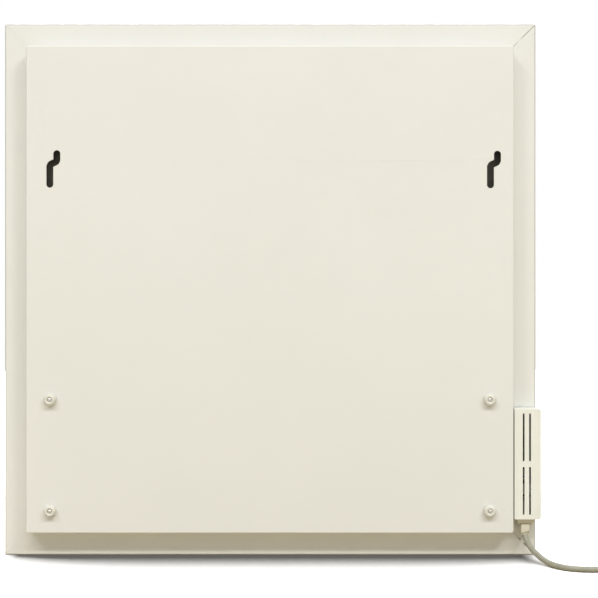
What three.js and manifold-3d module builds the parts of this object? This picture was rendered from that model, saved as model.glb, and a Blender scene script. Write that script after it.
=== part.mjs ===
// Infrared panel heater for a wall or ceiling, 600 x 600 mm, seen from behind in the photograph.
// Millimetres, +Z up. The warm front faces -Y and the wall side +Y. The origin is on the floor,
// in the middle of the tray's lower edge, half-way through the tray's depth.

import * as THREE from 'three';
import { mergeVertices } from 'three/addons/utils/BufferGeometryUtils.js';
import Module from 'manifold-3d';

const wasm = await Module();
wasm.setup();

// ---- Clearances ----
const gap = 0.3; // between pieces that touch or are fixed together
const running = 0.6; // round the dial and the switch key, which move

// ---- Sheet metal ----
const panelSide = 600; // the square front tray, over its folds
const trayDepth = 20; // front sheet to the back of the return flanges
const sheet = 1; // steel sheet of tray and pan
const bend = 1.8; // outside radius of every fold
const mitreSeam = 0.7; // open line where two return flanges meet
const flangeWidth = 29.5; // from the tray's side to the raised rear pan
const panRise = 20; // the pan's face above the return flanges
const panCorner = 2.5; // the pan's corners, seen from behind
const lipWidth = 9; // the pan's out-turned lip, held under the return flanges

// ---- Hanging slots, one Z shape each ----
const slotWidth = 7.25;
const slotInset = 25; // from the pan's side to the slot's lower part
const slotJoggle = 8.1; // the upper part sits this far to the side of the lower
const slotLength = 41.3; // end to end, upright
const slotDrop = 115.5; // from the pan's top to the upper end
const slotTopRun = 8.9; // upper part, end to the start of the slanting run
const slotSlantRise = 7.9; // height of the slanting run
const pocketMargin = 7; // the pocket behind a slot, beyond the slot on each side
const pocketDepth = 12;
const pocketWall = 1;

// ---- Wall spacers ----
const spacerInset = 25.5; // from the pan's side to a spacer's middle
const spacerLow = 53; // height of the lower two
const spacerRise = 124; // from the lower to the upper two
const spacerDiameter = 14.5;
const spacerTopDiameter = 12.4;
const spacerHeight = 6;
const spacerBore = 4.8; // the recess in its middle
const spacerSeat = 2.2; // material under the screw's head
const screwHead = 4.2;
const screwHeadHeight = 1.4;
const screwCrown = 2.5; // the flat top of its head
const screwShank = 2.2;
const screwReach = 6; // shank beyond the spacer's foot

// ---- Heating mat and insulation ----
const matClear = 0.5; // from the mat's edge to the pan's side walls
const matCorner = 4;
const matThickness = 1.6;
const tracePitch = 30; // between the runs of the heating track
const traceWidth = 12;
const traceHeight = 0.5; // above the mat
const traceMargin = 24; // from the mat's edges to the ends of the runs
const boardClear = 3.5; // from the board's edge to the pan's side walls
const boardFree = 1; // between the board and the pockets of the hanging slots
const recessWidth = 66; // cut in the board for the connections, in from its edge
const recessHeight = 72;
const recessRise = 3.1; // its lower edge above the housing's bottom

// ---- Connections in the recess ----
const cutoutDiameter = 16;
const cutoutHeight = 8;
const cutoutFoot = 1.5; // width of the rim round its foot
const cutoutEdge = 1; // thickness of that rim, and the bevel at the top
const cutoutInset = 16; // from the recess's inner edge to its middle
const bladeThickness = 0.8;
const bladeWidth = 6.3;
const bladeHeight = 7;
const bladeSpacing = 8;
const bladeJoin = 4.2; // where a core meets a blade, above the cut-out's top
const tabFoot = 8; // side of the square foot of a mat terminal
const tabFootThickness = 1;
const tabHeight = 10;
const tabInset = 6; // from the recess's inner edge
const tabMargin = 14; // from the recess's lower and upper edges
const tabJoin = 6; // where a core meets the tab, above the mat
const linkStraight = 3; // straight end of the link between cut-out and mat
const studDiameter = 4;
const studHeight = 9;
const studInset = 8.25; // from the board's edge
const studRise = 13.2; // above the recess's lower edge
const studClear = 8; // kept free of the mat round the earth stud
const ringWidth = 2.4;
const ringThickness = 1;
const ringTail = 7; // flat tail, from the ring's bore
const barrelStart = 4; // crimped barrel, from the ring's bore
const barrelEnd = 9;
const barrelRadius = 1.6;
const nutRadius = 3.8; // to its corners
const nutHeight = 3.2;

// ---- Control housing ----
const controlGap = 2.5; // between the pan and the housing
const controlProud = 2.8; // the housing beyond the tray's side
const controlBottom = 42.9;
const controlHeight = 124.3;
const controlFront = 2; // between the tray's front and the housing
const controlWall = 2;
const controlOuterCorner = 3.2;
const controlInnerCorner = 1.6;
const controlEdge = 1; // rounding of the cover's rear edge
const cordOffset = 1.9; // the cord's entry, towards the pan from the housing's middle
const cordHeight = 10; // the cord's entry above the return flanges, where base and cover meet
const ventWidth = 2;
const ventColumn = 10.2; // from the housing's inner side to the first column
const ventPitch = 7.1; // between the two columns
const ventEnd = 5.6; // below the lowest vent and above the highest
const ventBridge = 6.2; // between the upper and the lower vents
const hookWidth = 9;
const hookLength = 5;
const hookThickness = 1.2;

// ---- Thermostat dial ----
const dialRadius = 14;
const dialThickness = 5;
const dialProud = 2.2; // beyond the housing's side
const dialDrop = 27; // its axis below the housing's top
const dialDepth = 11.5; // its middle plane, forward of the return flanges' back
const dialRibs = 30;
const dialRibDepth = 0.6;
const dialRim = 3; // width of the rim round the dished face
const dialDish = 1.7;
const hubWall = 2;
const spindleDiameter = 6;
const spindleFlat = 1.2;
const regulatorDiameter = 16;
const regulatorDepth = 6;
const regulatorFoot = 1.5;

// ---- Rocker switch and lamp ----
const switchRise = 32; // its middle above the housing's bottom
const switchLength = 21; // of its bezel
const switchWidth = 13.6;
const switchBody = 17; // behind the bezel
const switchSideWall = 0.7; // of the frame beside the key
const switchEndWall = 0.9; // of the frame above and below the key
const switchWell = 6.2; // depth of the key's well beyond its pivot
const bezelThickness = 1.2;
const bezelOverlap = 1.2;
const contactLength = 4;
const contactWidth = 4.8;
const keyTilt = 8; // degrees to each side of the middle
const keyPivotDepth = 3.2;
const keyProud = 0.9;
const keyBack = 1.8; // of the key behind its pivot
const lampMargin = 7; // from the switch's bezel to the lamp's middle
const lampDiameter = 5;
const lensLength = 9;
const lensLip = 0.9;
const lensDome = 0.6;

// ---- Circuit board, terminals and cores ----
const circuitThickness = 1.6;
const circuitRise = 1.8; // its lower edge above the lamp
const circuitMargin = 2.5;
const postDiameter = 4;
const relayLength = 16;
const relayWidth = 11;
const relayHeight = 9;
const terminalWidth = 18;
const terminalDepth = 11;
const terminalHeight = 11;
const terminalDrop = 5; // its lower side below the switch's middle
const terminalBehind = 1; // between the switch and the terminals
const terminalScrew = 3.4;
const terminalScrewLength = 3.6;
const terminalWell = 5;
const terminalWaist = 1; // width of the cuts between the poles
const screwSlot = 0.6;
const coreDiameter = 2.2;
const coreApart = 0.4; // between the cores in the grommet
const coreClear = 0.7; // between the cores and the grommet
const coreExit = 7; // straight run beyond the housing's inner side
const coreLoop = 12; // reach of the earth core's loop
const grommetWall = 1.6;
const grommetLip = 1;
const grommetLipThickness = 1.1;

// ---- Mains lead ----
const cordDiameter = 6.5;
const collarWidth = 19;
const collarDepth = 13;
const collarHeight = 4.6;
const collarTaper = 1.4;
const neckInset = 2.2; // the bush's neck in the housing's wall, in from its collar
const bushFlange = 1.6; // thickness of the bush's flange inside the wall
const bushFlangeInset = 1;
const sleeveWidth = 9.6;
const sleeveDepth = 9;
const sleeveReach = 24; // material of the sleeve before its end is cut square to the lead
const sleeveMouth = 1.6; // its square part ends this far above the start of the free lead
const sleeveLip = 0.6; // wall of the round mouth below the square part
const sheathLength = 13; // of the lead inside the housing
const coilAside = 131; // from the cord's entry to the coil's start, sideways
const coilBehind = 86; // and rearwards
const coilTurnsIn = 3; // turns of the lower layer
const coilTurnsOut = 3.25; // turns of the upper layer
const coilClimb = 0.5; // turns in which the lead climbs to the upper layer
const coilInner = 27; // radius of the innermost turn's middle line
const coilGap = 0.7; // between turns side by side, and between layers
const coilSteps = 24; // per turn
const tieWidth = 9;
const tieThickness = 1.1;
const tieTurn = 0.6; // where the tie sits, in turns from the coil's start

// ---- Plug ----
const plugRadius = 18.5;
const plugEdge = 1;
const plugFaceDepth = 21; // length of the round front part
const plugShoulder = 3;
const plugShoulderStep = 2.5;
const plugNeckRadius = 11;
const plugLength = 38; // face to the start of the bend relief
const plugSleeve = 24; // length of the bend relief
const plugThroatWall = 1.2;
const plugTailLength = 32; // lead between the coil and the plug
const earthHoleRadius = 2.6;
const earthHoleRise = 10;
const earthHoleDepth = 15;
const clipGrooveWidth = 8;
const clipGrooveDepth = 2.4;
const clipWidth = 5.2;
const clipThickness = 1;
const pinDiameter = 4.8;
const pinLength = 19;
const pinPoint = 1.6; // length of its tapered end
const pinRoot = 6; // inside the plug
const pinSpacing = 19;

// ---- Fineness of round shapes ----
const roundSteps = 28;
const smallSteps = 14;
const arcSteps = 5; // per arc of an outline
const foldSteps = 3;
const ribPoints = 4; // points per rib of the dial
const cordSides = 10;
const fineSides = 6; // of the coil and of the cores
const leadSteps = 26;
const tailSteps = 6;
const coreSteps = 36;
const linkSteps = 16;

// ---- Places worked out from the sizes ----
const half = panelSide / 2;
const panSide = panelSide - 2 * flangeWidth;
const matSide = panSide - 2 * (sheet + matClear);
const boardSide = panSide - 2 * (sheet + boardClear);
const middleZ = half;
const panTop = middleZ + panSide / 2;
const frontY = -trayDepth / 2;
const flangeY = trayDepth / 2;
const panY = flangeY + panRise;
const pocketMouthY = panY - sheet - gap;
const pocketFloorY = pocketMouthY - pocketDepth;
const matFrontY = frontY + sheet + gap;
const matRearY = matFrontY + matThickness;
const boardFrontY = matRearY + traceHeight + gap;
const boardRearY = pocketFloorY - boardFree;
const controlIn = -(panSide / 2 + controlGap);
const controlOut = -(half + controlProud);
const controlMiddle = (controlIn + controlOut) / 2;
const controlTop = controlBottom + controlHeight;
const controlFrontY = frontY + controlFront;
const splitY = flangeY + cordHeight; // where the housing's base and cover meet
const cordX = controlMiddle + cordOffset;
const coilPitch = cordDiameter + coilGap;

// ---- Shapes ----

function solid(geometry) {
  const bare = geometry.clone();
  bare.deleteAttribute('normal');
  bare.deleteAttribute('uv');
  const merged = mergeVertices(bare, 1e-3);
  const vertProperties = Float32Array.from(merged.attributes.position.array);
  const triVerts = Uint32Array.from(merged.index.array);
  return new wasm.Manifold(new wasm.Mesh({ numProp: 3, vertProperties, triVerts }));
}

function geometryOf(body) {
  const mesh = body.getMesh();
  const geometry = new THREE.BufferGeometry();
  geometry.setAttribute('position', new THREE.BufferAttribute(mesh.vertProperties, mesh.numProp));
  geometry.setIndex(new THREE.BufferAttribute(mesh.triVerts, 1));
  geometry.computeVertexNormals();
  return geometry;
}

function without(body, ...cutters) {
  return cutters.reduce((left, cutter) => left.subtract(cutter), body);
}

function joined(body, ...others) {
  return others.reduce((all, other) => all.add(other), body);
}

function at(x, y, z) {
  return new THREE.Vector3(x, y, z);
}

// A place between two others, by its share of the way in X, Y and Z.
function between(from, to, shareX, shareY = shareX, shareZ = shareX) {
  const { lerp } = THREE.MathUtils;
  return at(lerp(from.x, to.x, shareX), lerp(from.y, to.y, shareY), lerp(from.z, to.z, shareZ));
}

function along(from, direction, length) {
  return from.clone().addScaledVector(direction, length);
}

function block(x0, x1, y0, y1, z0, z1) {
  const box = new THREE.BoxGeometry(Math.abs(x1 - x0), Math.abs(y1 - y0), Math.abs(z1 - z0));
  box.translate((x0 + x1) / 2, (y0 + y1) / 2, (z0 + z1) / 2);
  return solid(box);
}

// A block of width x depth x height about a middle.
function blockAt(middle, width, depth, height) {
  return block(
    middle.x - width / 2, middle.x + width / 2, middle.y - depth / 2, middle.y + depth / 2,
    middle.z - height / 2, middle.z + height / 2);
}

// A rectangle in X and Z whose two left corners and two right corners are rounded.
function rectangle(x0, x1, z0, z1, leftRadius = 0, rightRadius = leftRadius) {
  const shape = new THREE.Shape();
  const quarter = Math.PI / 2;
  const turn = (x, z, radius, start) => {
    if (radius > 0) shape.absarc(x, z, radius, start, start + quarter, false);
    else shape.lineTo(x, z);
  };
  shape.moveTo(x1 - rightRadius, z0);
  turn(x1 - rightRadius, z0 + rightRadius, rightRadius, -quarter);
  turn(x1 - rightRadius, z1 - rightRadius, rightRadius, 0);
  turn(x0 + leftRadius, z1 - leftRadius, leftRadius, quarter);
  turn(x0 + leftRadius, z0 + leftRadius, leftRadius, 2 * quarter);
  return shape;
}

function square(side, cornerRadius = 0) {
  return rectangle(-side / 2, side / 2, middleZ - side / 2, middleZ + side / 2, cornerRadius);
}

// A line between two points in X and Z, thickened to a strip with round ends.
function strip(x0, z0, x1, z1, radius) {
  const slope = Math.atan2(z1 - z0, x1 - x0);
  const quarter = Math.PI / 2;
  const shape = new THREE.Shape();
  shape.absarc(x1, z1, radius, slope - quarter, slope + quarter, false);
  shape.absarc(x0, z0, radius, slope + quarter, slope + 3 * quarter, false);
  return shape;
}

// An outline in X and Z, given thickness between two places on the Y axis.
function plate(outline, y0, y1) {
  const geometry = new THREE.ExtrudeGeometry(outline, {
    depth: y1 - y0, bevelEnabled: false, curveSegments: arcSteps,
  });
  geometry.rotateX(Math.PI / 2);
  geometry.translate(0, y1, 0);
  return solid(geometry);
}

// The same with its front and rear edges rounded.
function roundedPlate(outline, y0, y1, radius) {
  const geometry = new THREE.ExtrudeGeometry(outline, {
    depth: y1 - y0 - 2 * radius, bevelThickness: radius, bevelSize: radius, bevelOffset: -radius,
    bevelSegments: foldSteps, curveSegments: arcSteps,
  });
  geometry.rotateX(Math.PI / 2);
  geometry.translate(0, y1 - radius, 0);
  return solid(geometry);
}

// A revolved profile of [radius, y] points about the Y axis, from its front to its rear.
function turned(profile, segments = roundSteps) {
  const points = profile.map(([radius, y]) => new THREE.Vector2(radius, y));
  return new THREE.LatheGeometry(points, segments);
}

function disc(radius, y0, y1, segments = roundSteps) {
  return turned([[0, y0], [radius, y0], [radius, y1], [0, y1]], segments);
}

function cylinderAt(x, z, radius, y0, y1, segments = roundSteps) {
  const geometry = disc(radius, y0, y1, segments);
  geometry.translate(x, 0, z);
  return solid(geometry);
}

// The same lying along X, between x0 and x1.
function barAt(y, z, radius, x0, x1, segments = smallSteps) {
  const geometry = disc(radius, 0, Math.abs(x1 - x0), segments);
  geometry.rotateZ(-Math.PI / 2);
  geometry.translate(Math.min(x0, x1), y, z);
  return solid(geometry);
}

function tube(points, diameter, sides, steps) {
  const section = new THREE.Shape();
  section.absarc(0, 0, diameter / 2, 0, 2 * Math.PI, false);
  const route = new THREE.CatmullRomCurve3(points, false, 'centripetal');
  return new THREE.ExtrudeGeometry(section, { steps, extrudePath: route, curveSegments: sides / 2 });
}

// ---- Finishes ----

function finish(color, roughness, metalness = 0) {
  return new THREE.MeshStandardMaterial({ color, roughness, metalness });
}

const powderCoat = () => finish('#e9e6d8', 0.55);
const creamPlastic = () => finish('#e4e1d4', 0.5);
const darkPlastic = () => finish('#3a3a38', 0.6);
const greyRubber = () => finish('#7f827c', 0.6);
const zinc = () => finish('#9a9c9c', 0.4, 0.9);
const brownSheath = () => finish('#7a4a2c', 0.6);

function piece(name, body, material) {
  const geometry = body.isBufferGeometry ? body : geometryOf(body);
  const mesh = new THREE.Mesh(geometry, material);
  mesh.name = name;
  return mesh;
}

function assembly(...members) {
  const group = new THREE.Group();
  group.add(...members);
  return group;
}

// ---- Casing: folded tray, rear pan, hanging pockets ----

const openingSide = panSide + 2 * gap;

// A mitred seam from a corner of the opening to the tray's corner, cut through the flange alone.
function seamCutter(sideX, sideZ) {
  const inner = openingSide / 2;
  const reach = (half - inner) * Math.SQRT2 + 2 * sheet;
  const cutter = new THREE.BoxGeometry(reach, bend + sheet, mitreSeam);
  cutter.rotateY(-sideX * sideZ * Math.PI / 4);
  const middle = (inner + half) / 2;
  cutter.translate(sideX * middle, flangeY + (sheet - bend) / 2, middleZ + sideZ * middle);
  return solid(cutter);
}

function frontTray() {
  const folded = roundedPlate(square(panelSide), frontY, flangeY, bend);
  const hollow = roundedPlate(
    square(panelSide - 2 * sheet), frontY + sheet, flangeY - sheet, bend - sheet);
  const opening = plate(square(openingSide, panCorner + gap), flangeY - 2 * sheet, flangeY + sheet);
  const notch = block(
    controlOut - gap, -panSide / 2, controlFrontY - gap, flangeY + sheet,
    controlBottom - gap, controlTop + gap);
  const seams = [[1, 1], [1, -1], [-1, 1], [-1, -1]].map(([x, z]) => seamCutter(x, z));
  return without(folded, hollow, opening, notch, ...seams);
}

// Three strips: the upper part, the slanting run and the lower part, which hangs on the hook.
function hangingSlot(lowerX, y0, y1, margin = 0) {
  const end = slotWidth / 2;
  const radius = end + margin;
  const top = panTop - slotDrop;
  const upperX = lowerX - slotJoggle;
  const slantTop = top - slotTopRun;
  const slantFoot = slantTop - slotSlantRise;
  const bottom = top - slotLength;
  return joined(
    plate(strip(upperX, top - end, upperX, slantTop, radius), y0, y1),
    plate(strip(upperX, slantTop, lowerX, slantFoot, radius), y0, y1),
    plate(strip(lowerX, slantFoot, lowerX, bottom + end, radius), y0, y1));
}

const slotPlaces = { left: panSide / 2 - slotInset, right: slotInset - panSide / 2 };
const spacerX = panSide / 2 - spacerInset;
const spacerPlaces = {
  upper_left: [spacerX, spacerLow + spacerRise],
  upper_right: [-spacerX, spacerLow + spacerRise],
  lower_left: [spacerX, spacerLow],
  lower_right: [-spacerX, spacerLow],
};

function rearPan() {
  const lipY = flangeY - sheet - gap;
  const footY = lipY - sheet;
  const raised = roundedPlate(square(panSide, panCorner), footY - bend, panY, bend);
  const below = plate(square(panelSide), footY - 2 * bend, footY);
  const lip = plate(square(panSide + 2 * lipWidth, panCorner), footY, lipY);
  const hollow = roundedPlate(
    square(panSide - 2 * sheet, panCorner - sheet), footY - 2 * bend, panY - sheet, bend - sheet);
  const lipNotch = block(
    -panSide / 2, -half, footY - sheet, lipY + sheet, controlBottom - lipWidth, controlTop + lipWidth);
  const slots = Object.values(slotPlaces).map((x) => hangingSlot(x, panY - 2 * sheet, panY + sheet));
  const holes = Object.values(spacerPlaces).map(([x, z]) =>
    cylinderAt(x, z, screwShank / 2 + gap, panY - 2 * sheet, panY + sheet, smallSteps));
  return without(joined(without(raised, below), lip), hollow, lipNotch, ...slots, ...holes);
}

// A shallow box behind each hanging slot, open towards it, that keeps hooks off the insulation.
function slotPocket(lowerX) {
  const outer = hangingSlot(lowerX, pocketFloorY, pocketMouthY, pocketMargin);
  const inner = hangingSlot(lowerX, pocketFloorY + pocketWall, panY, pocketMargin - pocketWall);
  return without(outer, inner);
}

function casing() {
  const pockets = Object.entries(slotPlaces).map(([side, x]) =>
    piece(`slot_pocket_${side}`, slotPocket(x), darkPlastic()));
  return assembly(
    piece('front_tray', frontTray(), powderCoat()),
    piece('rear_pan', rearPan(), powderCoat()),
    ...pockets);
}

// ---- Wall spacers, each with a screw sunk in its middle ----

function spacer() {
  const foot = spacerDiameter / 2;
  const top = spacerTopDiameter / 2;
  const shoulder = foot - top;
  const bore = spacerBore / 2;
  const hole = screwShank / 2 + gap;
  return turned([
    [hole, 0], [foot, 0], [foot, spacerHeight - 2 * shoulder],
    [foot - shoulder / 3, spacerHeight - shoulder], [top, spacerHeight], [bore, spacerHeight],
    [bore, spacerSeat], [hole, spacerSeat], [hole, 0],
  ]);
}

function spacerScrew() {
  const head = screwHead / 2;
  const shank = screwShank / 2;
  const under = spacerSeat + gap;
  const top = under + screwHeadHeight;
  return turned([
    [0, -screwReach], [shank, -screwReach + shank], [shank, under], [head, under],
    [head, (under + top) / 2], [screwCrown / 2, top], [0, top],
  ], smallSteps);
}

function wallSpacers() {
  const members = Object.entries(spacerPlaces).flatMap(([place, [x, z]]) => {
    const foot = piece(`wall_spacer_${place}`, spacer(), creamPlastic());
    const screw = piece(`spacer_screw_${place}`, spacerScrew(), zinc());
    [foot, screw].forEach((member) => member.position.set(x, panY + gap, z));
    return [foot, screw];
  });
  return assembly(...members);
}

// ---- Heating stack, from the front sheet towards the rear ----

const recessEdge = -boardSide / 2;
const recessInner = recessEdge + recessWidth;
const recessBottom = controlBottom + recessRise;
const recessTop = recessBottom + recessHeight;
const recessMiddle = (recessBottom + recessTop) / 2;
const studX = recessEdge + studInset;
const studZ = recessBottom + studRise;
const cutoutX = recessInner - cutoutInset;
const cutoutTop = boardFrontY + cutoutHeight;
const bladeY = cutoutTop + bladeJoin;
const tabX = recessInner - tabInset;
const tabY = boardFrontY + tabJoin;
const tabPlaces = { live: recessBottom + tabMargin, neutral: recessTop - tabMargin };
const ringBore = studDiameter / 2 + gap;
const ringRearY = matRearY + ringThickness;
const barrelY = matRearY + barrelRadius + gap;
const barrelEndX = studX + ringBore + barrelEnd;

// The mat carries its heating track as one meander of upright runs joined end to end.
function heatingMat() {
  const sheetSolid = plate(square(matSide, matCorner), matFrontY, matRearY);
  const runs = 2 * Math.floor((matSide - traceMargin) / tracePitch / 2);
  const first = -(runs - 1) * tracePitch / 2;
  const low = middleZ - matSide / 2 + traceMargin;
  const high = middleZ + matSide / 2 - traceMargin;
  const backY = matRearY + traceHeight;
  const sunkY = matRearY - traceHeight;
  const track = [];
  for (let run = 0; run < runs; run += 1) {
    const x = first + run * tracePitch;
    track.push(block(x - traceWidth / 2, x + traceWidth / 2, sunkY, backY, low, high));
    if (run < runs - 1) {
      const end = run % 2 === 0 ? high : low;
      const inward = run % 2 === 0 ? -traceWidth : traceWidth;
      track.push(block(
        x - traceWidth / 2, x + tracePitch + traceWidth / 2, sunkY, backY, end, end + inward));
    }
  }
  const studHole = block(
    -matSide, studX + studClear, matFrontY - sheet, backY + sheet, studZ - studClear, studZ + studClear);
  return without(joined(sheetSolid, ...track), studHole);
}

function insulationBoard() {
  const board = plate(square(boardSide), boardFrontY, boardRearY);
  const recess = block(
    recessEdge - sheet, recessInner, boardFrontY - sheet, boardRearY + sheet, recessBottom, recessTop);
  return without(board, recess);
}

// The overheat cut-out: a round can with two blade terminals on a flanged foot.
function thermalCutout() {
  const radius = cutoutDiameter / 2;
  const footTop = boardFrontY + cutoutEdge;
  const can = solid(turned([
    [0, boardFrontY], [radius + cutoutFoot, boardFrontY], [radius + cutoutFoot, footTop], [radius, footTop],
    [radius, cutoutTop - cutoutEdge], [radius - cutoutEdge, cutoutTop], [0, cutoutTop],
  ]));
  const blades = [-1, 1].map((side) => blockAt(
    at(side * bladeSpacing / 2, cutoutTop + (bladeHeight - cutoutEdge) / 2, 0),
    bladeThickness, bladeHeight + cutoutEdge, bladeWidth));
  return joined(can, ...blades);
}

function earthRing() {
  const ring = cylinderAt(0, 0, ringBore + ringWidth, matRearY, ringRearY, smallSteps);
  const tail = block(0, ringBore + ringTail, matRearY, ringRearY, -barrelRadius, barrelRadius);
  const barrel = barAt(barrelY, 0, barrelRadius, ringBore + barrelStart, ringBore + barrelEnd);
  const bore = cylinderAt(0, 0, ringBore, matRearY - gap, ringRearY + gap, smallSteps);
  return without(joined(ring, tail, barrel), bore);
}

function earthNut() {
  const front = ringRearY + gap;
  const nut = solid(disc(nutRadius, front, front + nutHeight, 6));
  return without(nut, cylinderAt(0, 0, ringBore, front - gap, front + nutHeight + gap, smallSteps));
}

// A blade on a foot, where the heating track's end is led out of the mat.
function matTerminal() {
  const foot = blockAt(
    at(0, boardFrontY + tabFootThickness / 2, 0), tabFoot, tabFootThickness, tabFoot);
  const blade = blockAt(at(0, boardFrontY + tabHeight / 2, 0), bladeThickness, tabHeight, bladeWidth);
  return joined(foot, blade);
}

// From the cut-out's second blade down to the mat's live terminal.
function cutoutLink() {
  const start = at(cutoutX + bladeSpacing / 2, bladeY, recessMiddle - bladeWidth / 2 - gap);
  const end = at(tabX, tabY, tabPlaces.live + bladeWidth / 2 + gap);
  return tube([
    start, along(start, at(0, 0, -1), linkStraight), between(start, end, 1 / 2),
    along(end, at(0, 0, 1), linkStraight), end,
  ], coreDiameter, fineSides, linkSteps);
}

function heatingStack() {
  const terminals = Object.entries(tabPlaces).map(([pole, z]) => {
    const terminal = piece(`mat_terminal_${pole}`, matTerminal(), zinc());
    terminal.position.set(tabX, 0, z);
    return terminal;
  });
  const cutout = piece('thermal_cutout', thermalCutout(), darkPlastic());
  cutout.position.set(cutoutX, 0, recessMiddle);
  const shank = disc(studDiameter / 2, matFrontY, matFrontY + studHeight, smallSteps);
  const stud = piece('earth_stud', shank, zinc());
  const ring = piece('earth_ring', earthRing(), zinc());
  const nut = piece('earth_nut', earthNut(), zinc());
  [stud, ring, nut].forEach((member) => member.position.set(studX, 0, studZ));
  return assembly(
    piece('heating_mat', heatingMat(), finish('#2f3133', 0.7)),
    piece('insulation_board', insulationBoard(), finish('#d9cf9c', 0.95)),
    cutout, piece('cutout_link', cutoutLink(), brownSheath()), ...terminals, stud, ring, nut);
}

// ---- Control housing: base let into the tray, and a vented cover ----

const dialX = controlOut - dialProud + dialRadius;
const dialZ = controlTop - dialDrop;
const dialY = flangeY - dialDepth;
const dialFrontY = dialY - dialThickness / 2;
const dialRearY = dialY + dialThickness / 2;
const switchZ = controlBottom + switchRise;
const switchY = controlFrontY + controlWall + gap + switchWidth / 2;
const lampZ = switchZ + switchLength / 2 + lampMargin;
const coreSpread = coreDiameter + coreApart;
const grommetBore = coreSpread + coreDiameter / 2 + coreClear;
const grommetRadius = grommetBore + grommetWall;
const grommetY = controlFrontY + controlWall + gap + grommetRadius + grommetLip;
const grommetZ = recessMiddle;
const circuitY = dialRearY + regulatorDepth + 2 * gap;
const circuitTop = controlTop - controlWall - circuitMargin;
const circuitBottom = lampZ + lampDiameter / 2 + circuitRise;
const circuitOut = controlOut + controlWall + circuitMargin;
const circuitIn = controlIn - controlWall - circuitMargin;
const circuitPosts = [circuitOut + postDiameter / 2, circuitIn - postDiameter / 2].flatMap((x) =>
  [circuitBottom + postDiameter / 2, circuitTop - postDiameter / 2].map((z) => [x, z]));
const neckWidth = collarWidth - 2 * neckInset;
const neckDepth = collarDepth - 2 * neckInset;

function housingOutline(inset) {
  return rectangle(
    controlOut + inset, controlIn - inset, controlBottom + inset, controlTop - inset,
    Math.max(controlOuterCorner - inset, controlInnerCorner), controlInnerCorner);
}

// The cord bush's neck, half in the base and half in the cover.
function neckHole() {
  return blockAt(
    at(cordX, splitY, controlBottom + controlWall / 2),
    neckWidth + 2 * gap, neckDepth + 2 * gap, 3 * controlWall);
}

function controlBase() {
  const rim = splitY - gap / 2;
  const outer = plate(housingOutline(0), controlFrontY, rim);
  const inner = plate(housingOutline(controlWall), controlFrontY + controlWall, rim + controlWall);
  const rimDistance = dialRadius - dialProud - controlWall;
  const dialSlot = blockAt(
    at(controlOut + running / 2, dialY, dialZ), 2 * controlWall + running, dialThickness + 2 * running,
    2 * (Math.sqrt(dialRadius ** 2 - rimDistance ** 2) + 2 * running));
  const switchHole = blockAt(
    at(controlOut, switchY, switchZ), 4 * controlWall, switchWidth - 2 * (bezelOverlap - gap),
    switchLength - 2 * (bezelOverlap - gap));
  const lampHole = barAt(
    dialY, lampZ, lampDiameter / 2 + gap, controlOut - controlWall, controlOut + 2 * controlWall);
  const leadHole = barAt(
    grommetY, grommetZ, grommetRadius, controlIn - 2 * controlWall, controlIn + controlWall);
  const posts = circuitPosts.map(([x, z]) =>
    cylinderAt(x, z, postDiameter / 2, controlFrontY + controlWall / 2, circuitY - gap, smallSteps));
  return without(
    joined(without(outer, inner), ...posts), dialSlot, switchHole, lampHole, leadHole, neckHole());
}

function vent(x, z0, z1) {
  const end = ventWidth / 2;
  return plate(strip(x, z0 + end, x, z1 - end, end), panY - 2 * controlWall, panY + controlWall);
}

// A tongue of the cover that reaches inside the base, joined to the cover's wall above the rim.
function coverHook(wallX, inward, z, rim) {
  const root = rim + 2 * controlWall;
  const wide = hookWidth / 2;
  const tip = wallX + inward * hookThickness;
  const stem = block(wallX, tip, rim - hookLength, root, z - wide, z + wide);
  const bridge = block(wallX - inward * 2 * gap, tip, rim + gap, root, z - wide, z + wide);
  return joined(stem, bridge);
}

function controlCover() {
  const rim = splitY + gap / 2;
  const tall = roundedPlate(housingOutline(0), rim - 2 * controlEdge, panY, controlEdge);
  const spare = plate(housingOutline(-controlWall), rim - 4 * controlEdge, rim);
  const inner = plate(housingOutline(controlWall), rim - controlWall, panY - controlWall);
  const columns = [controlIn - ventColumn, controlIn - ventColumn - ventPitch];
  const low = controlBottom + ventEnd;
  const high = controlTop - ventEnd;
  const middle = (low + high) / 2;
  const vents = columns.flatMap((x) => [
    vent(x, low, middle - ventBridge / 2), vent(x, middle + ventBridge / 2, high)]);
  const hooks = [controlBottom + controlHeight / 4, controlTop - controlHeight / 4].flatMap((z) => [
    coverHook(controlOut + controlWall + gap, 1, z, rim),
    coverHook(controlIn - controlWall - gap, -1, z, rim)]);
  return without(joined(without(tall, spare, inner), ...hooks), neckHole(), ...vents);
}

function controlUnit() {
  return assembly(
    piece('control_base', controlBase(), creamPlastic()),
    piece('control_cover', controlCover(), creamPlastic()));
}

// ---- Thermostat: a ribbed thumbwheel on a flatted spindle, in a regulator on the circuit board ----

const spindleRadius = spindleDiameter / 2;

function dShaped(radius, flat) {
  const angle = Math.acos((radius - flat) / radius);
  const shape = new THREE.Shape();
  shape.absarc(0, 0, radius, angle, 2 * Math.PI - angle, false);
  return shape;
}

function thermostatDial() {
  const shape = new THREE.Shape();
  const points = dialRibs * ribPoints;
  for (let point = 0; point < points; point += 1) {
    const angle = (2 * Math.PI * point) / points;
    const radius = dialRadius - (point % ribPoints < ribPoints / 2 ? 0 : dialRibDepth);
    const x = radius * Math.cos(angle);
    const z = radius * Math.sin(angle);
    if (point === 0) shape.moveTo(x, z);
    else shape.lineTo(x, z);
  }
  const wheel = plate(shape, dialFrontY, dialRearY);
  const dish = solid(disc(dialRadius - dialRim, dialFrontY - gap, dialFrontY + dialDish));
  const hub = solid(disc(spindleRadius + hubWall, dialFrontY, dialRearY));
  const bore = plate(dShaped(spindleRadius + gap, spindleFlat), dialFrontY - gap, dialRearY + gap);
  return without(joined(without(wheel, dish), hub), bore);
}

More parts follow.
